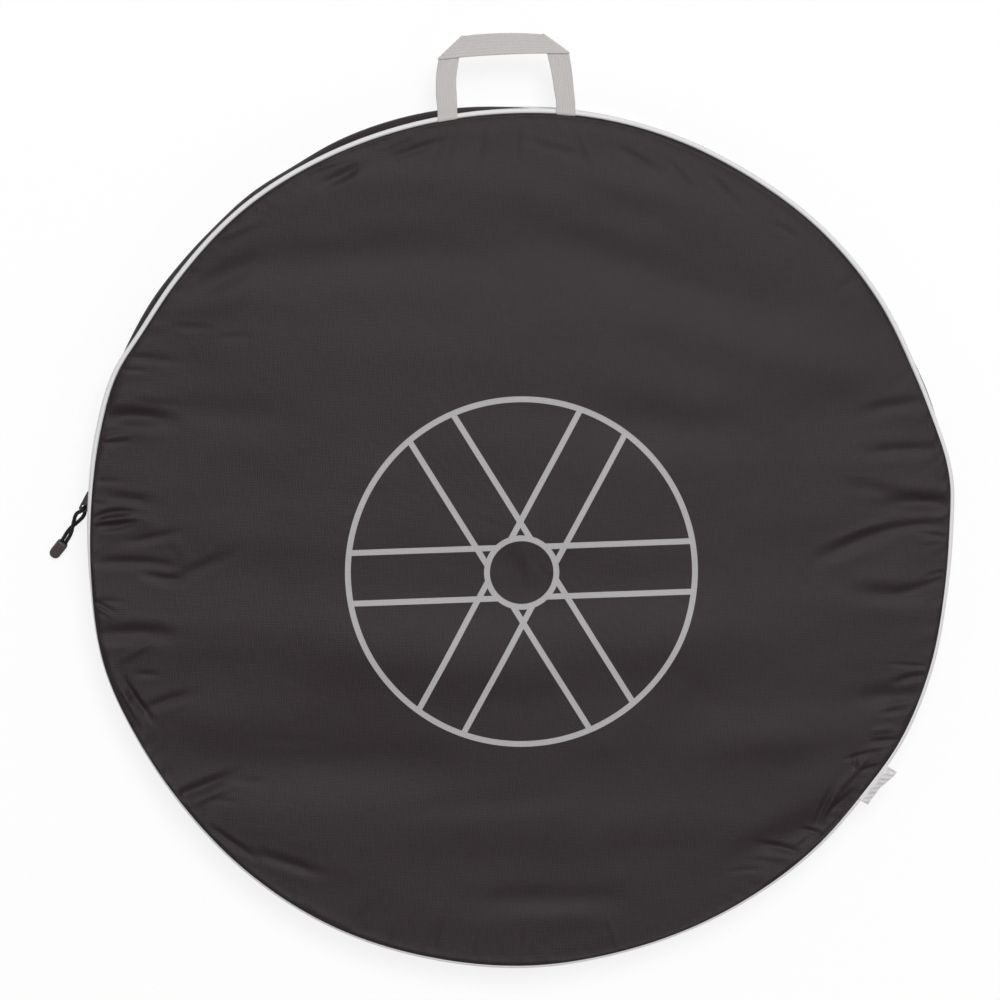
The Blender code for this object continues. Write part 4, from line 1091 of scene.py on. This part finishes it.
def stitched(name, path, outward):
    """A row of stitches along a path of points, each sunk into the cloth at both ends."""
    length = lengths_along(path)
    count = int(length[-1] // (STITCH_LENGTH + STITCH_GAP))
    start = np.arange(count) * (STITCH_LENGTH + STITCH_GAP)

    def at(distance, values):
        return np.stack([np.interp(distance, length, values[:, k]) for k in range(3)], 1)

    first, last = at(start, path), at(start + STITCH_LENGTH, path)
    normal = at(start + STITCH_LENGTH / 2, outward)
    along = last - first
    along /= np.linalg.norm(along, axis=1, keepdims=True)
    side = np.cross(along, normal)
    turn = np.arange(THREAD_SIDES) * math.tau / THREAD_SIDES
    points, faces, loops = [], [], []
    for share, size, lift in STITCH_RINGS:
        centre = first + (last - first) * share + normal * (THREAD_RADIUS * lift)
        spread = THREAD_RADIUS * size
        points.append(
            centre[:, None]
            + side[:, None] * (np.cos(turn) * spread)[None, :, None]
            + normal[:, None] * (np.sin(turn) * spread)[None, :, None]
        )
    points = np.stack(points, 1)
    index = np.arange(points.size // 3).reshape(points.shape[:3])
    for i, (near, far) in enumerate(zip(STITCH_RINGS, STITCH_RINGS[1:])):
        u = near[0] * STITCH_LENGTH, far[0] * STITCH_LENGTH
        for j in range(THREAD_SIDES):
            k = (j + 1) % THREAD_SIDES
            v = j * THREAD_RADIUS, (j + 1) * THREAD_RADIUS
            corners = ((i, j), (i + 1, j), (i + 1, k), (i, k))
            faces.append(np.stack([index[:, a, b] for a, b in corners], 1))
            flat = ((u[0], v[0]), (u[1], v[0]), (u[1], v[1]), (u[0], v[1]))
            loops.append(np.broadcast_to(flat, (count, 4, 2)))
    mesh = bpy.data.meshes.new(name)
    mesh.from_pydata(points.reshape(-1, 3).tolist(), [], np.concatenate(faces).tolist())
    set_places(mesh, np.concatenate(loops).reshape(-1, 2))
    mesh.shade_smooth()
    obj = add_object(name, mesh)
    dress(obj, "outer_cloth", THREAD_TWIST)
    return obj


def wall_row(degrees, height):
    """A path on the gusset's outside at one height, and the way out of it."""
    return round_place(degrees, soft_wall(degrees, height), height), round_place(degrees, 1.0, 0.0)


def make_stitching():
    bends_with_flap(stitched("front_strip_stitching", *wall_row(UPPER, ZIP_Z + STITCH_ROW)))
    rides_bag(stitched("back_strip_stitching", *wall_row(UPPER, ZIP_Z - STITCH_ROW)))


# The cloth patches over the zip's ends: thickness, height of their face over the wall, how far
# they are puffed up and within what distance of their edge, and the box of stitches' distance.
END_TAB_CLOTH = 0.0008
END_TAB_LIFT = 0.0007
END_TAB_PUFF = 0.0003
END_TAB_PUFF_REACH = 0.0028
END_TAB_MARGIN = 0.0016
END_TAB_TOP = ZIP_Z + END_TAB_HALF_WIDTH
END_TAB_BOTTOM = ZIP_Z - END_TAB_HALF_WIDTH


def make_end_tabs():
    """A cloth patch over each end of the zip, sewn down with a box of stitches."""
    low = math.degrees(math.asin(END_TAB_LOW_Y / GUSSET_SEAM_RADIUS))
    high = math.degrees(math.asin(END_TAB_HIGH_Y / GUSSET_SEAM_RADIUS))
    right = np.linspace(low, high, 33)
    for side, degrees in (("right", right), ("left", 180 - right)):

        def puffed(at, heights):
            ends = np.minimum(np.abs(at - degrees[0]), np.abs(at - degrees[-1]))
            inside = np.radians(ends) * SEAM_RADIUS
            across = END_TAB_HALF_WIDTH - np.abs(heights - ZIP_Z)
            puff = ease(0.0, END_TAB_PUFF_REACH, np.minimum(inside, across + 0 * inside))
            return wall_radius(heights) + END_TAB_LIFT + END_TAB_PUFF * puff

        name = "zip_end_patch_" + side
        patch = band(name, degrees, END_TAB_BOTTOM, END_TAB_TOP, 24, 0.0, END_TAB_CLOTH, puffed)
        fit(patch, rides_bag, "outer_cloth", SIDE_CLOTH, "zip_end_tab_" + side)
        margin = math.degrees(END_TAB_MARGIN / SEAM_RADIUS)
        near, far = degrees.min() + margin, degrees.max() - margin
        top, bottom = END_TAB_TOP - END_TAB_MARGIN, END_TAB_BOTTOM + END_TAB_MARGIN
        corners = np.array(((near, bottom), (far, bottom), (far, top), (near, top), (near, bottom)))
        box = np.concatenate([np.linspace(a, b, 20) for a, b in zip(corners, corners[1:])])
        path = round_place(box[:, 0], wall_radius(box[:, 1]) + END_TAB_LIFT, box[:, 1])
        outward = round_place(box[:, 0], 1.0, 0.0)
        rides_bag(stitched("zip_end_stitching_" + side, path, outward))


# The puller's cord and grip.
CORD_PIVOT = Vector((-0.377812, 0.038227, 0.026551))
CORD_ALONG = Vector((-0.496, -0.767, -0.4067)).normalized()
CORD_SIDEWAYS = Vector((0.839775, -0.542934, 0)).normalized()
CORD_UP = CORD_ALONG.cross(CORD_SIDEWAYS)
CORD_DIAMETER = 0.0035
# Half of the cord's route in its own frame, from the bend in the tab's hole to the grip.
CORD_ROUTE = (
    (-0.0031, 0.0000, 0.0000), (-0.0024, -0.0003, 0.0020), (-0.0008, -0.0006, 0.0031),
    (0.0012, -0.0014, 0.0032), (0.0036, -0.0026, 0.0028), (0.0064, -0.0031, 0.0024),
    (0.0100, -0.0027, 0.0021), (0.0150, -0.0014, 0.0019), (0.0198, 0.0000, 0.0019),
    (0.0240, 0.0012, 0.0016), (0.0290, 0.0018, 0.0009), (0.0340, 0.0018, 0.0003),
    (0.0368, 0.0018, 0.0000), (0.0395, 0.0018, 0.0000),
)
CORD_STEP = 0.0004
CORD_SIDES = 20
# The braid: strands each way, the length of a strand's turn, and how deep it is cut in.
BRAID_STRANDS = 5
BRAID_LAY = 0.0042
BRAID_DEPTH = 0.07
GRIP_START = 0.0385
GRIP_TURN = math.radians(-6)
GRIP_LENGTH = 0.0185
GRIP_HALF_WIDTH = 0.0051
GRIP_HALF_THICKNESS = 0.0039
GRIP_SIDES = 32
# How square the grip's section is: 1 is round, and less is squarer.
GRIP_SQUARENESS = 0.62
# The grip up to its round end: place along it, and shares of its full width and thickness.
GRIP_STATIONS = (
    (0.0, 0.62, 0.55), (0.0, 0.72, 0.66), (0.0004, 0.80, 0.76), (0.0016, 1.0, 0.97),
    (0.004, 1.0, 1.0), (0.008, 0.985, 0.99), (GRIP_LENGTH - GRIP_HALF_WIDTH, 1.0, 1.0),
)
# Stations round its end, and how thin it gets there.
GRIP_END_DEGREES = (15, 30, 45, 58, 70, 80, 86)
GRIP_END_POWER = 0.55
GRIP_END_LEAST = 0.12


def cord_frame():
    turn = Matrix((CORD_ALONG, CORD_SIDEWAYS, CORD_UP)).transposed().to_4x4()
    return Matrix.Translation(CORD_PIVOT) @ turn


def smooth_path(route, step):
    """Points about a step apart on a smooth curve through the route."""
    ends = np.concatenate(([route[0] * 2 - route[1]], route, [route[-1] * 2 - route[-2]]))
    points = []
    for before, start, end, after in zip(ends, ends[1:], ends[2:], ends[3:]):
        count = max(1, round(float(np.linalg.norm(end - start)) / step))
        for t in np.arange(count) / count:
            bend = (before * -1 + start * 3 - end * 3 + after) * t ** 3
            swing = (before * 2 - start * 5 + end * 4 - after) * t ** 2
            points.append((start * 2 + (end - before) * t + swing + bend) / 2)
    return np.array(points + [route[-1]])


def lengths_along(path):
    """Length of a path of points up to each of them."""
    return np.concatenate(([0], np.cumsum(np.linalg.norm(np.diff(path, axis=0), axis=1))))


def braided_tube(name, path, radius):
    """A tube along a path whose skin shows the strands of a braid."""
    tangent = np.gradient(path, axis=0)
    tangent /= np.linalg.norm(tangent, axis=1, keepdims=True)
    normal = np.cross(tangent[0], (0.3, 0.2, 1.0))
    normals = []
    for direction in tangent:
        normal = normal - direction * (normal @ direction)
        normal /= np.linalg.norm(normal)
        normals.append(normal)
    normals = np.array(normals)
    side = np.cross(tangent, normals)
    length = lengths_along(path)
    turn = np.arange(CORD_SIDES) * math.tau / CORD_SIDES
    lay = length[:, None] / BRAID_LAY * math.tau
    strand = BRAID_STRANDS * turn[None, :]
    strands = np.maximum(np.sin(strand + lay), np.sin(strand - lay))
    size = radius * (1 - BRAID_DEPTH + BRAID_DEPTH * strands)
    points = (
        path[:, None]
        + normals[:, None] * (np.cos(turn) * size)[:, :, None]
        + side[:, None] * (np.sin(turn) * size)[:, :, None]
    )
    around = np.arange(CORD_SIDES + 1) * (math.tau / CORD_SIDES * radius)
    places = np.stack(np.meshgrid(length, around, indexing="ij"), -1)
    return surface(name, points, places, (False, True), caps=True)


def rides_cord(obj):
    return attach(obj, "pull_cord")


def make_cord():
    half = np.array(CORD_ROUTE)
    mirrored = half[:0:-1] * (1, -1, -1)
    path = smooth_path(np.concatenate((mirrored, half)), CORD_STEP)
    cord = braided_tube("braided_pull_cord", path, CORD_DIAMETER / 2)
    cord.matrix_world = cord_frame()
    fit(cord, rides_cord, "cord", CORD_BRAID, "pull_cord")


def make_grip():
    """A moulded grip: square shoulders where the cord goes in, and a round far end."""
    stations = list(GRIP_STATIONS)
    for turn in np.radians(GRIP_END_DEGREES):
        thickness = max(GRIP_END_LEAST, math.cos(turn) ** GRIP_END_POWER)
        place = GRIP_STATIONS[-1][0] + GRIP_HALF_WIDTH * math.sin(turn)
        stations.append((place, math.cos(turn), thickness))
    turn = np.arange(GRIP_SIDES) * math.tau / GRIP_SIDES
    circle = np.stack((np.cos(turn), np.sin(turn)), 1)
    outline = np.sign(circle) * np.abs(circle) ** GRIP_SQUARENESS
    outline *= (GRIP_HALF_WIDTH, GRIP_HALF_THICKNESS)
    points = np.array([
        np.column_stack((np.full(GRIP_SIDES, x), outline * (width, thickness)))
        for x, width, thickness in stations
    ])
    around = np.arange(GRIP_SIDES + 1) * MM
    places = np.stack(np.meshgrid([station[0] for station in stations], around, indexing="ij"), -1)
    grip = surface("moulded_grip", points, places, (False, True), caps=True)
    subdivided(grip, 2)
    seat = Matrix.Translation((GRIP_START, 0, 0)) @ Matrix.Rotation(GRIP_TURN, 4, "Z")
    grip.matrix_world = cord_frame() @ seat
    fit(grip, rides_cord, "grip", GRIP_RUBBER, "pull_grip")


# The carrying handle: one length of ribbed webbing, folded over at both upper corners.
HANDLE_Y = 0.3677
HANDLE_Z = 0.0638
WEBBING_WIDTH = 0.0176
WEBBING_THICKNESS = 0.0013
WEBBING_RIBS = 7
RIB_DEPTH = 0.00035
# How flat the ribs are on top, and how much and how late the strap thins to its edges.
RIB_FLATNESS = 0.5
EDGE_THINNING = 0.5
EDGE_LATENESS = 12
# The strap bends at the seam between these places.
# Each leg's two edges at the seam, twice on the way up and at the slanting fold, (x, y) in mm.
LEFT_LEG_MM = (
    ((-59.6, 0.0), (-42.6, 0.0)), ((-60.4, 20.0), (-42.6, 20.0)), ((-59.6, 37.0), (-42.2, 37.0)),
    ((-57.4, 50.0), (-35.2, 69.6)),
)
RIGHT_LEG_MM = (
    ((58.4, 0.0), (42.0, 0.0)), ((57.6, 20.0), (40.8, 20.0)), ((56.4, 37.0), (38.6, 37.0)),
    ((54.4, 51.6), (32.0, 68.8)),
)
LEG_ROWS = 22
LEG_STEP = 0.0008
# The fold's radius, and the directions of the rows round it.
FOLD_RADIUS = 0.0008
FOLD_TURNS = np.radians(np.linspace(-75, 75, 7))
# The band between the folds: rows, and how far it bows outwards and up.
BAND_ROWS = 38
BAND_BOW = 0.0018
BAND_RISE = 0.0006
# Where the feet run over the piping: distance out from the seam, and height over the strap.
HANDLE_FOOT_ROWS = (
    (-0.0027, -0.0026), (-0.0021, -0.0017), (-0.0011, -0.0010), (0.0, -0.0007),
    (0.0012, -0.0008), (0.0030, -0.0008), (0.0060, -0.0004), (0.0100, -0.0001),
)


def leg_rows(table):
    """Rows of the strap's two edges from the seam up to the fold."""
    edges = np.array(table) * MM
    turns = 90 - np.degrees(np.arcsin(edges[0, :, 0] / SEAM_RADIUS))
    seam = seam_radius(turns) * np.sin(np.radians(turns)) - HANDLE_Y
    rows = [[(edges[0, k, 0], seam[k] + y, lift) for k in (0, 1)] for y, lift in HANDLE_FOOT_ROWS]
    edges[0, :, 1] = seam + HANDLE_FOOT_ROWS[-1][0]
    path = [smooth_path(np.column_stack((edges[:, k], np.zeros(len(edges)))), LEG_STEP) for k in (0, 1)]
    for share in np.linspace(0, 1, LEG_ROWS)[1:]:
        row = []
        for edge in path:
            at = share * (len(edge) - 1)
            row.append([np.interp(at, np.arange(len(edge)), edge[:, k]) for k in (0, 1)] + [0.0])
        rows.append(row)
    return rows


def fold_rows(fold, side):
    """Rows round the fold, from the leg's level up to the band's."""
    along = fold[1] - fold[0]
    outward = np.array((-along[1], along[0])) * side / np.linalg.norm(along)
    rows = []
    for turn in FOLD_TURNS:
        x, y = outward * (FOLD_RADIUS * math.cos(turn))
        rows.append([(p[0] + x, p[1] + y, FOLD_RADIUS * (1 + math.sin(turn))) for p in fold])
    return rows


def make_handle():
    left, right = leg_rows(LEFT_LEG_MM), leg_rows(RIGHT_LEG_MM)
    left_fold, right_fold = np.array(left[-1])[:, :2], np.array(right[-1])[:, :2]
    band_rows = []
    for share in np.linspace(0, 1, BAND_ROWS + 2)[1:-1]:
        bow = BAND_BOW * (1 - (2 * share - 1) ** 2)
        height = FOLD_RADIUS * 2 + BAND_RISE * math.sin(math.pi * share)
        middle = left_fold * (1 - share) + right_fold * share
        band_rows.append([(x, y + bow, height) for x, y in middle])
    rows = left + fold_rows(left_fold, 1) + band_rows + fold_rows(right_fold, -1)[::-1] + right[::-1]
    edges = np.array(rows)
    shares = np.linspace(0, 1, WEBBING_RIBS * 4 + 1)
    centre = edges[:, :1] * (1 - shares)[None, :, None] + edges[:, 1:] * shares[None, :, None]
    tangent = np.gradient(centre.mean(1), axis=0)
    across = edges[:, 1] - edges[:, 0]
    normal = np.cross(across, tangent)
    normal /= np.linalg.norm(normal, axis=1, keepdims=True)
    rib = RIB_DEPTH * np.abs(np.sin(math.pi * WEBBING_RIBS * shares)) ** RIB_FLATNESS
    rounding = 1 - EDGE_THINNING * np.abs(2 * shares - 1) ** EDGE_LATENESS
    offset = (WEBBING_THICKNESS / 2 - RIB_DEPTH + rib) * rounding
    top = centre - normal[:, None] * offset[None, :, None]
    bottom = centre + normal[:, None] * offset[None, :, None]
    points = np.concatenate((top, bottom[:, ::-1]), 1)
    points += np.array((0, HANDLE_Y, HANDLE_Z))
    wide = np.concatenate((shares, 1 + shares, [2.0])) * WEBBING_WIDTH
    places = np.stack(np.meshgrid(wide, lengths_along(centre.mean(1)), indexing="xy"), -1)
    handle = surface("webbing_handle", points, places, (False, True), caps=True)
    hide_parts("handle_strap")
    dress(handle, "webbing", WEBBING_WEAVE)
    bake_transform(handle)


# The small folded label under the piping.
LABEL_DEGREES = -36.3
LABEL_HALF_LENGTH = 0.019
LABEL_REACH = 0.0110
LABEL_THICKNESS = 0.00016
# The gap inside the folded ribbon, and how much wider its waves make it where it hangs free.
LABEL_LOOP = 0.00045
LOOP_SPREAD = 1.4
LABEL_COLUMNS = 57
LABEL_STEPS = 26
# How far the label droops along its length, from its lower to its upper end, in degrees, over
# how many columns that is smoothed, and how far out from the piping the droop comes in.
LABEL_DROOP = ((-1.0, 40), (-0.55, 44), (-0.1, 46), (0.35, 34), (0.7, 14), (1.0, 6))
DROOP_SMOOTHING = 7
DROOP_RANGE = (0.0002, 0.0040)
# Creases across it: height, waves along its length, waves outwards and shift.
LABEL_CREASES = ((0.0008, 9, 4.0, 0.8), (0.0005, 23, -5, 0.0), (0.0002, 41, 9, 0.0))
CREASE_RANGE = (0.0005, 0.005)
# Its way over the piping, from the seam: distance from the piping's middle and height, in mm.
LABEL_OVER_PIPING_MM = ((-2.5, 0.9), (-2.0, 1.9), (-1.0, 2.5), (0.0, 2.75), (1.0, 2.6))


def make_label():
    """A ribbon folded at its outer edge, creased along its length and drooping in the middle."""
    along = np.linspace(-1, 1, LABEL_COLUMNS)[:, None]
    droop = np.radians(np.interp(along[:, 0], *zip(*LABEL_DROOP)))
    droop = np.pad(droop, DROOP_SMOOTHING // 2, mode="edge")
    droop = np.convolve(droop, np.ones(DROOP_SMOOTHING) / DROOP_SMOOTHING, mode="valid")
    reach = np.linspace(0, LABEL_REACH, LABEL_STEPS)
    share = reach / LABEL_REACH
    step = LABEL_REACH / (LABEL_STEPS - 1)
    bend = ease(*DROOP_RANGE, reach)[None, :] * droop[:, None]
    over = np.array(LABEL_OVER_PIPING_MM) * MM
    start = np.zeros((LABEL_COLUMNS, 1))
    out = np.concatenate((start, np.cumsum(np.cos(bend[:, 1:]) * step, 1)), 1) + over[-1, 0]
    drop = np.concatenate((start, np.cumsum(np.sin(bend[:, 1:]) * step, 1)), 1) - over[-1, 1]
    free = ease(*CREASE_RANGE, reach)[None, :]
    crease = sum(
        rise * free * np.sin(waves * along + outwards_waves * share + shift)
        for rise, waves, outwards_waves, shift in LABEL_CREASES
    )
    gap = LABEL_LOOP * (1 + LOOP_SPREAD * free * (0.5 + 0.5 * np.sin(5 * along + 1)))
    gap = gap * np.sqrt(np.clip(1 - share ** 8, 0.0, 1))[None, :]
    upper = np.stack((out, -drop + crease), -1)
    lower = np.stack((out - gap * np.sin(bend) * 0.5, -drop + crease - gap), -1)
    root = np.broadcast_to(over[:-1], (LABEL_COLUMNS, len(over) - 1, 2))
    loop = np.concatenate((root, upper, lower[:, :0:-1]), 1)
    sideways = along * LABEL_HALF_LENGTH
    turns = LABEL_DEGREES + np.degrees(np.arcsin(sideways / SEAM_RADIUS))
    radial = seam_radius(turns) * np.cos(np.radians(turns - LABEL_DEGREES)) + loop[:, :, 0]
    height = seam_height(turns) + loop[:, :, 1]
    outer = np.stack((radial, sideways + 0 * radial, height), -1)
    points = outer @ np.array(Matrix.Rotation(math.radians(LABEL_DEGREES), 3, "Z")).T
    across = np.arange(points.shape[1]) * step
    places = np.stack(np.meshgrid(sideways[:, 0], across, indexing="ij"), -1)
    label = surface("side_ribbon", points, places)
    thicken = label.modifiers.new("thickness", "SOLIDIFY")
    thicken.thickness = LABEL_THICKNESS
    thicken.offset = 0
    fit(label, rides_bag, "label", LABEL_WEAVE, "side_label")


make_front_pad()
make_piping()
make_gusset()
make_tapes()
make_coils()
make_back_pad()
make_bindings()
make_stitching()
make_end_tabs()
make_cord()
make_grip()
make_handle()
make_label()

METAL_NODES = (
    "slider_body", "pull_ring", "pull_tab", "zip_top_stop_front", "zip_top_stop_back", "zip_bottom_stop",
)
for name in METAL_NODES:
    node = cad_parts[name]
    node.data.materials.clear()
    node.data.materials.append(ENAMEL)


# Floor, light and camera.

FLOOR_SIZE = 12
FLOOR_Z = -0.0002
FLOOR_PAPER = (0.93, 0.93, 0.93, 1.0)
# How bright the floor shows by itself, and how much of that the camera sees.
FLOOR_GLOW = 1.05
FLOOR_GLOW_SHARE = 0.80
WORLD_STRENGTH = 0.22
# Name, place, size and power of each lamp. All of them point at the bag's middle.
LAMPS = (
    ("key_lamp", (0.5, 1.95, 5.4), 2.1, 200.0),
    ("fill_lamp", (1.6, -2.0, 5.0), 2.4, 20.0),
)


def make_floor():
    bpy.ops.mesh.primitive_plane_add(size=FLOOR_SIZE, location=(0, 0, FLOOR_Z))
    floor = bpy.context.object
    floor.name = "floor"
    look = Look("floor_paper", 0.9, 0.0)
    look.set("Base Color", FLOOR_PAPER)
    path = look.node("LightPath")
    seen = look.math("MAXIMUM", path.outputs["Is Camera Ray"], path.outputs["Is Glossy Ray"])
    seen = look.math("MAXIMUM", seen, path.outputs["Is Transmission Ray"])
    white = look.node("Emission")
    white.inputs["Strength"].default_value = FLOOR_GLOW
    blend = look.node("MixShader")
    look.feed(blend.inputs[0], look.math("MULTIPLY", seen, FLOOR_GLOW_SHARE))
    look.feed(blend.inputs[1], look.shader.outputs[0])
    look.feed(blend.inputs[2], white.outputs[0])
    output = look.tree.nodes["Material Output"]
    look.feed(output.inputs["Surface"], blend.outputs[0])
    floor.data.materials.append(look.material)


def make_light():
    """A plain white world, which the camera sees at full strength, and two round lamps."""
    world = bpy.data.worlds.new("studio")
    bpy.context.scene.world = world
    world.use_nodes = True
    nodes, links = world.node_tree.nodes, world.node_tree.links
    background = nodes["Background"]
    background.inputs["Color"].default_value = (1, 1, 1, 1)
    path = nodes.new("ShaderNodeLightPath")
    strength = nodes.new("ShaderNodeMath")
    strength.operation = "MULTIPLY_ADD"
    strength.inputs[1].default_value = 1 - WORLD_STRENGTH
    strength.inputs[2].default_value = WORLD_STRENGTH
    links.new(path.outputs["Is Camera Ray"], strength.inputs[0])
    links.new(strength.outputs[0], background.inputs["Strength"])
    for name, place, size, power in LAMPS:
        data = bpy.data.lights.new(name, "AREA")
        data.shape = "DISK"
        data.size = size
        data.energy = power
        lamp = add_object(name, data)
        lamp.location = place
        lamp.rotation_euler = (-Vector(place)).to_track_quat("-Z", "Y").to_euler()


def make_camera():
    data = bpy.data.cameras.new("camera")
    data.sensor_width = SENSOR_WIDTH
    data.lens = SENSOR_WIDTH * PIXELS_PER_METRE * CAMERA_DISTANCE / PHOTO_SIZE
    data.clip_start, data.clip_end = 0.1, 50
    camera = add_object("camera", data)
    right = Vector((math.cos(PHOTO_TURN), -math.sin(PHOTO_TURN), 0))
    up = Vector((math.sin(PHOTO_TURN), math.cos(PHOTO_TURN), 0))
    half = PHOTO_SIZE / 2
    across = (half - BAG_MIDDLE_PIXEL[0]) / PIXELS_PER_METRE
    above = (BAG_MIDDLE_PIXEL[1] - half) / PIXELS_PER_METRE
    target = Vector((0, 0, FRONT_SEAM_Z)) + right * across + up * above
    side = Vector((math.cos(CAMERA_SIDE), math.sin(CAMERA_SIDE), 0))
    back = side * math.sin(CAMERA_LEAN) + Vector((0, 0, math.cos(CAMERA_LEAN)))
    x_axis = up.cross(back).normalized()
    y_axis = back.cross(x_axis)
    turned = Matrix((x_axis, y_axis, back)).transposed().to_4x4()
    camera.matrix_world = Matrix.Translation(target + back * CAMERA_DISTANCE) @ turned
    bpy.context.scene.camera = camera


make_floor()
make_light()
make_camera()
bpy.context.scene.view_settings.view_transform = "Standard"
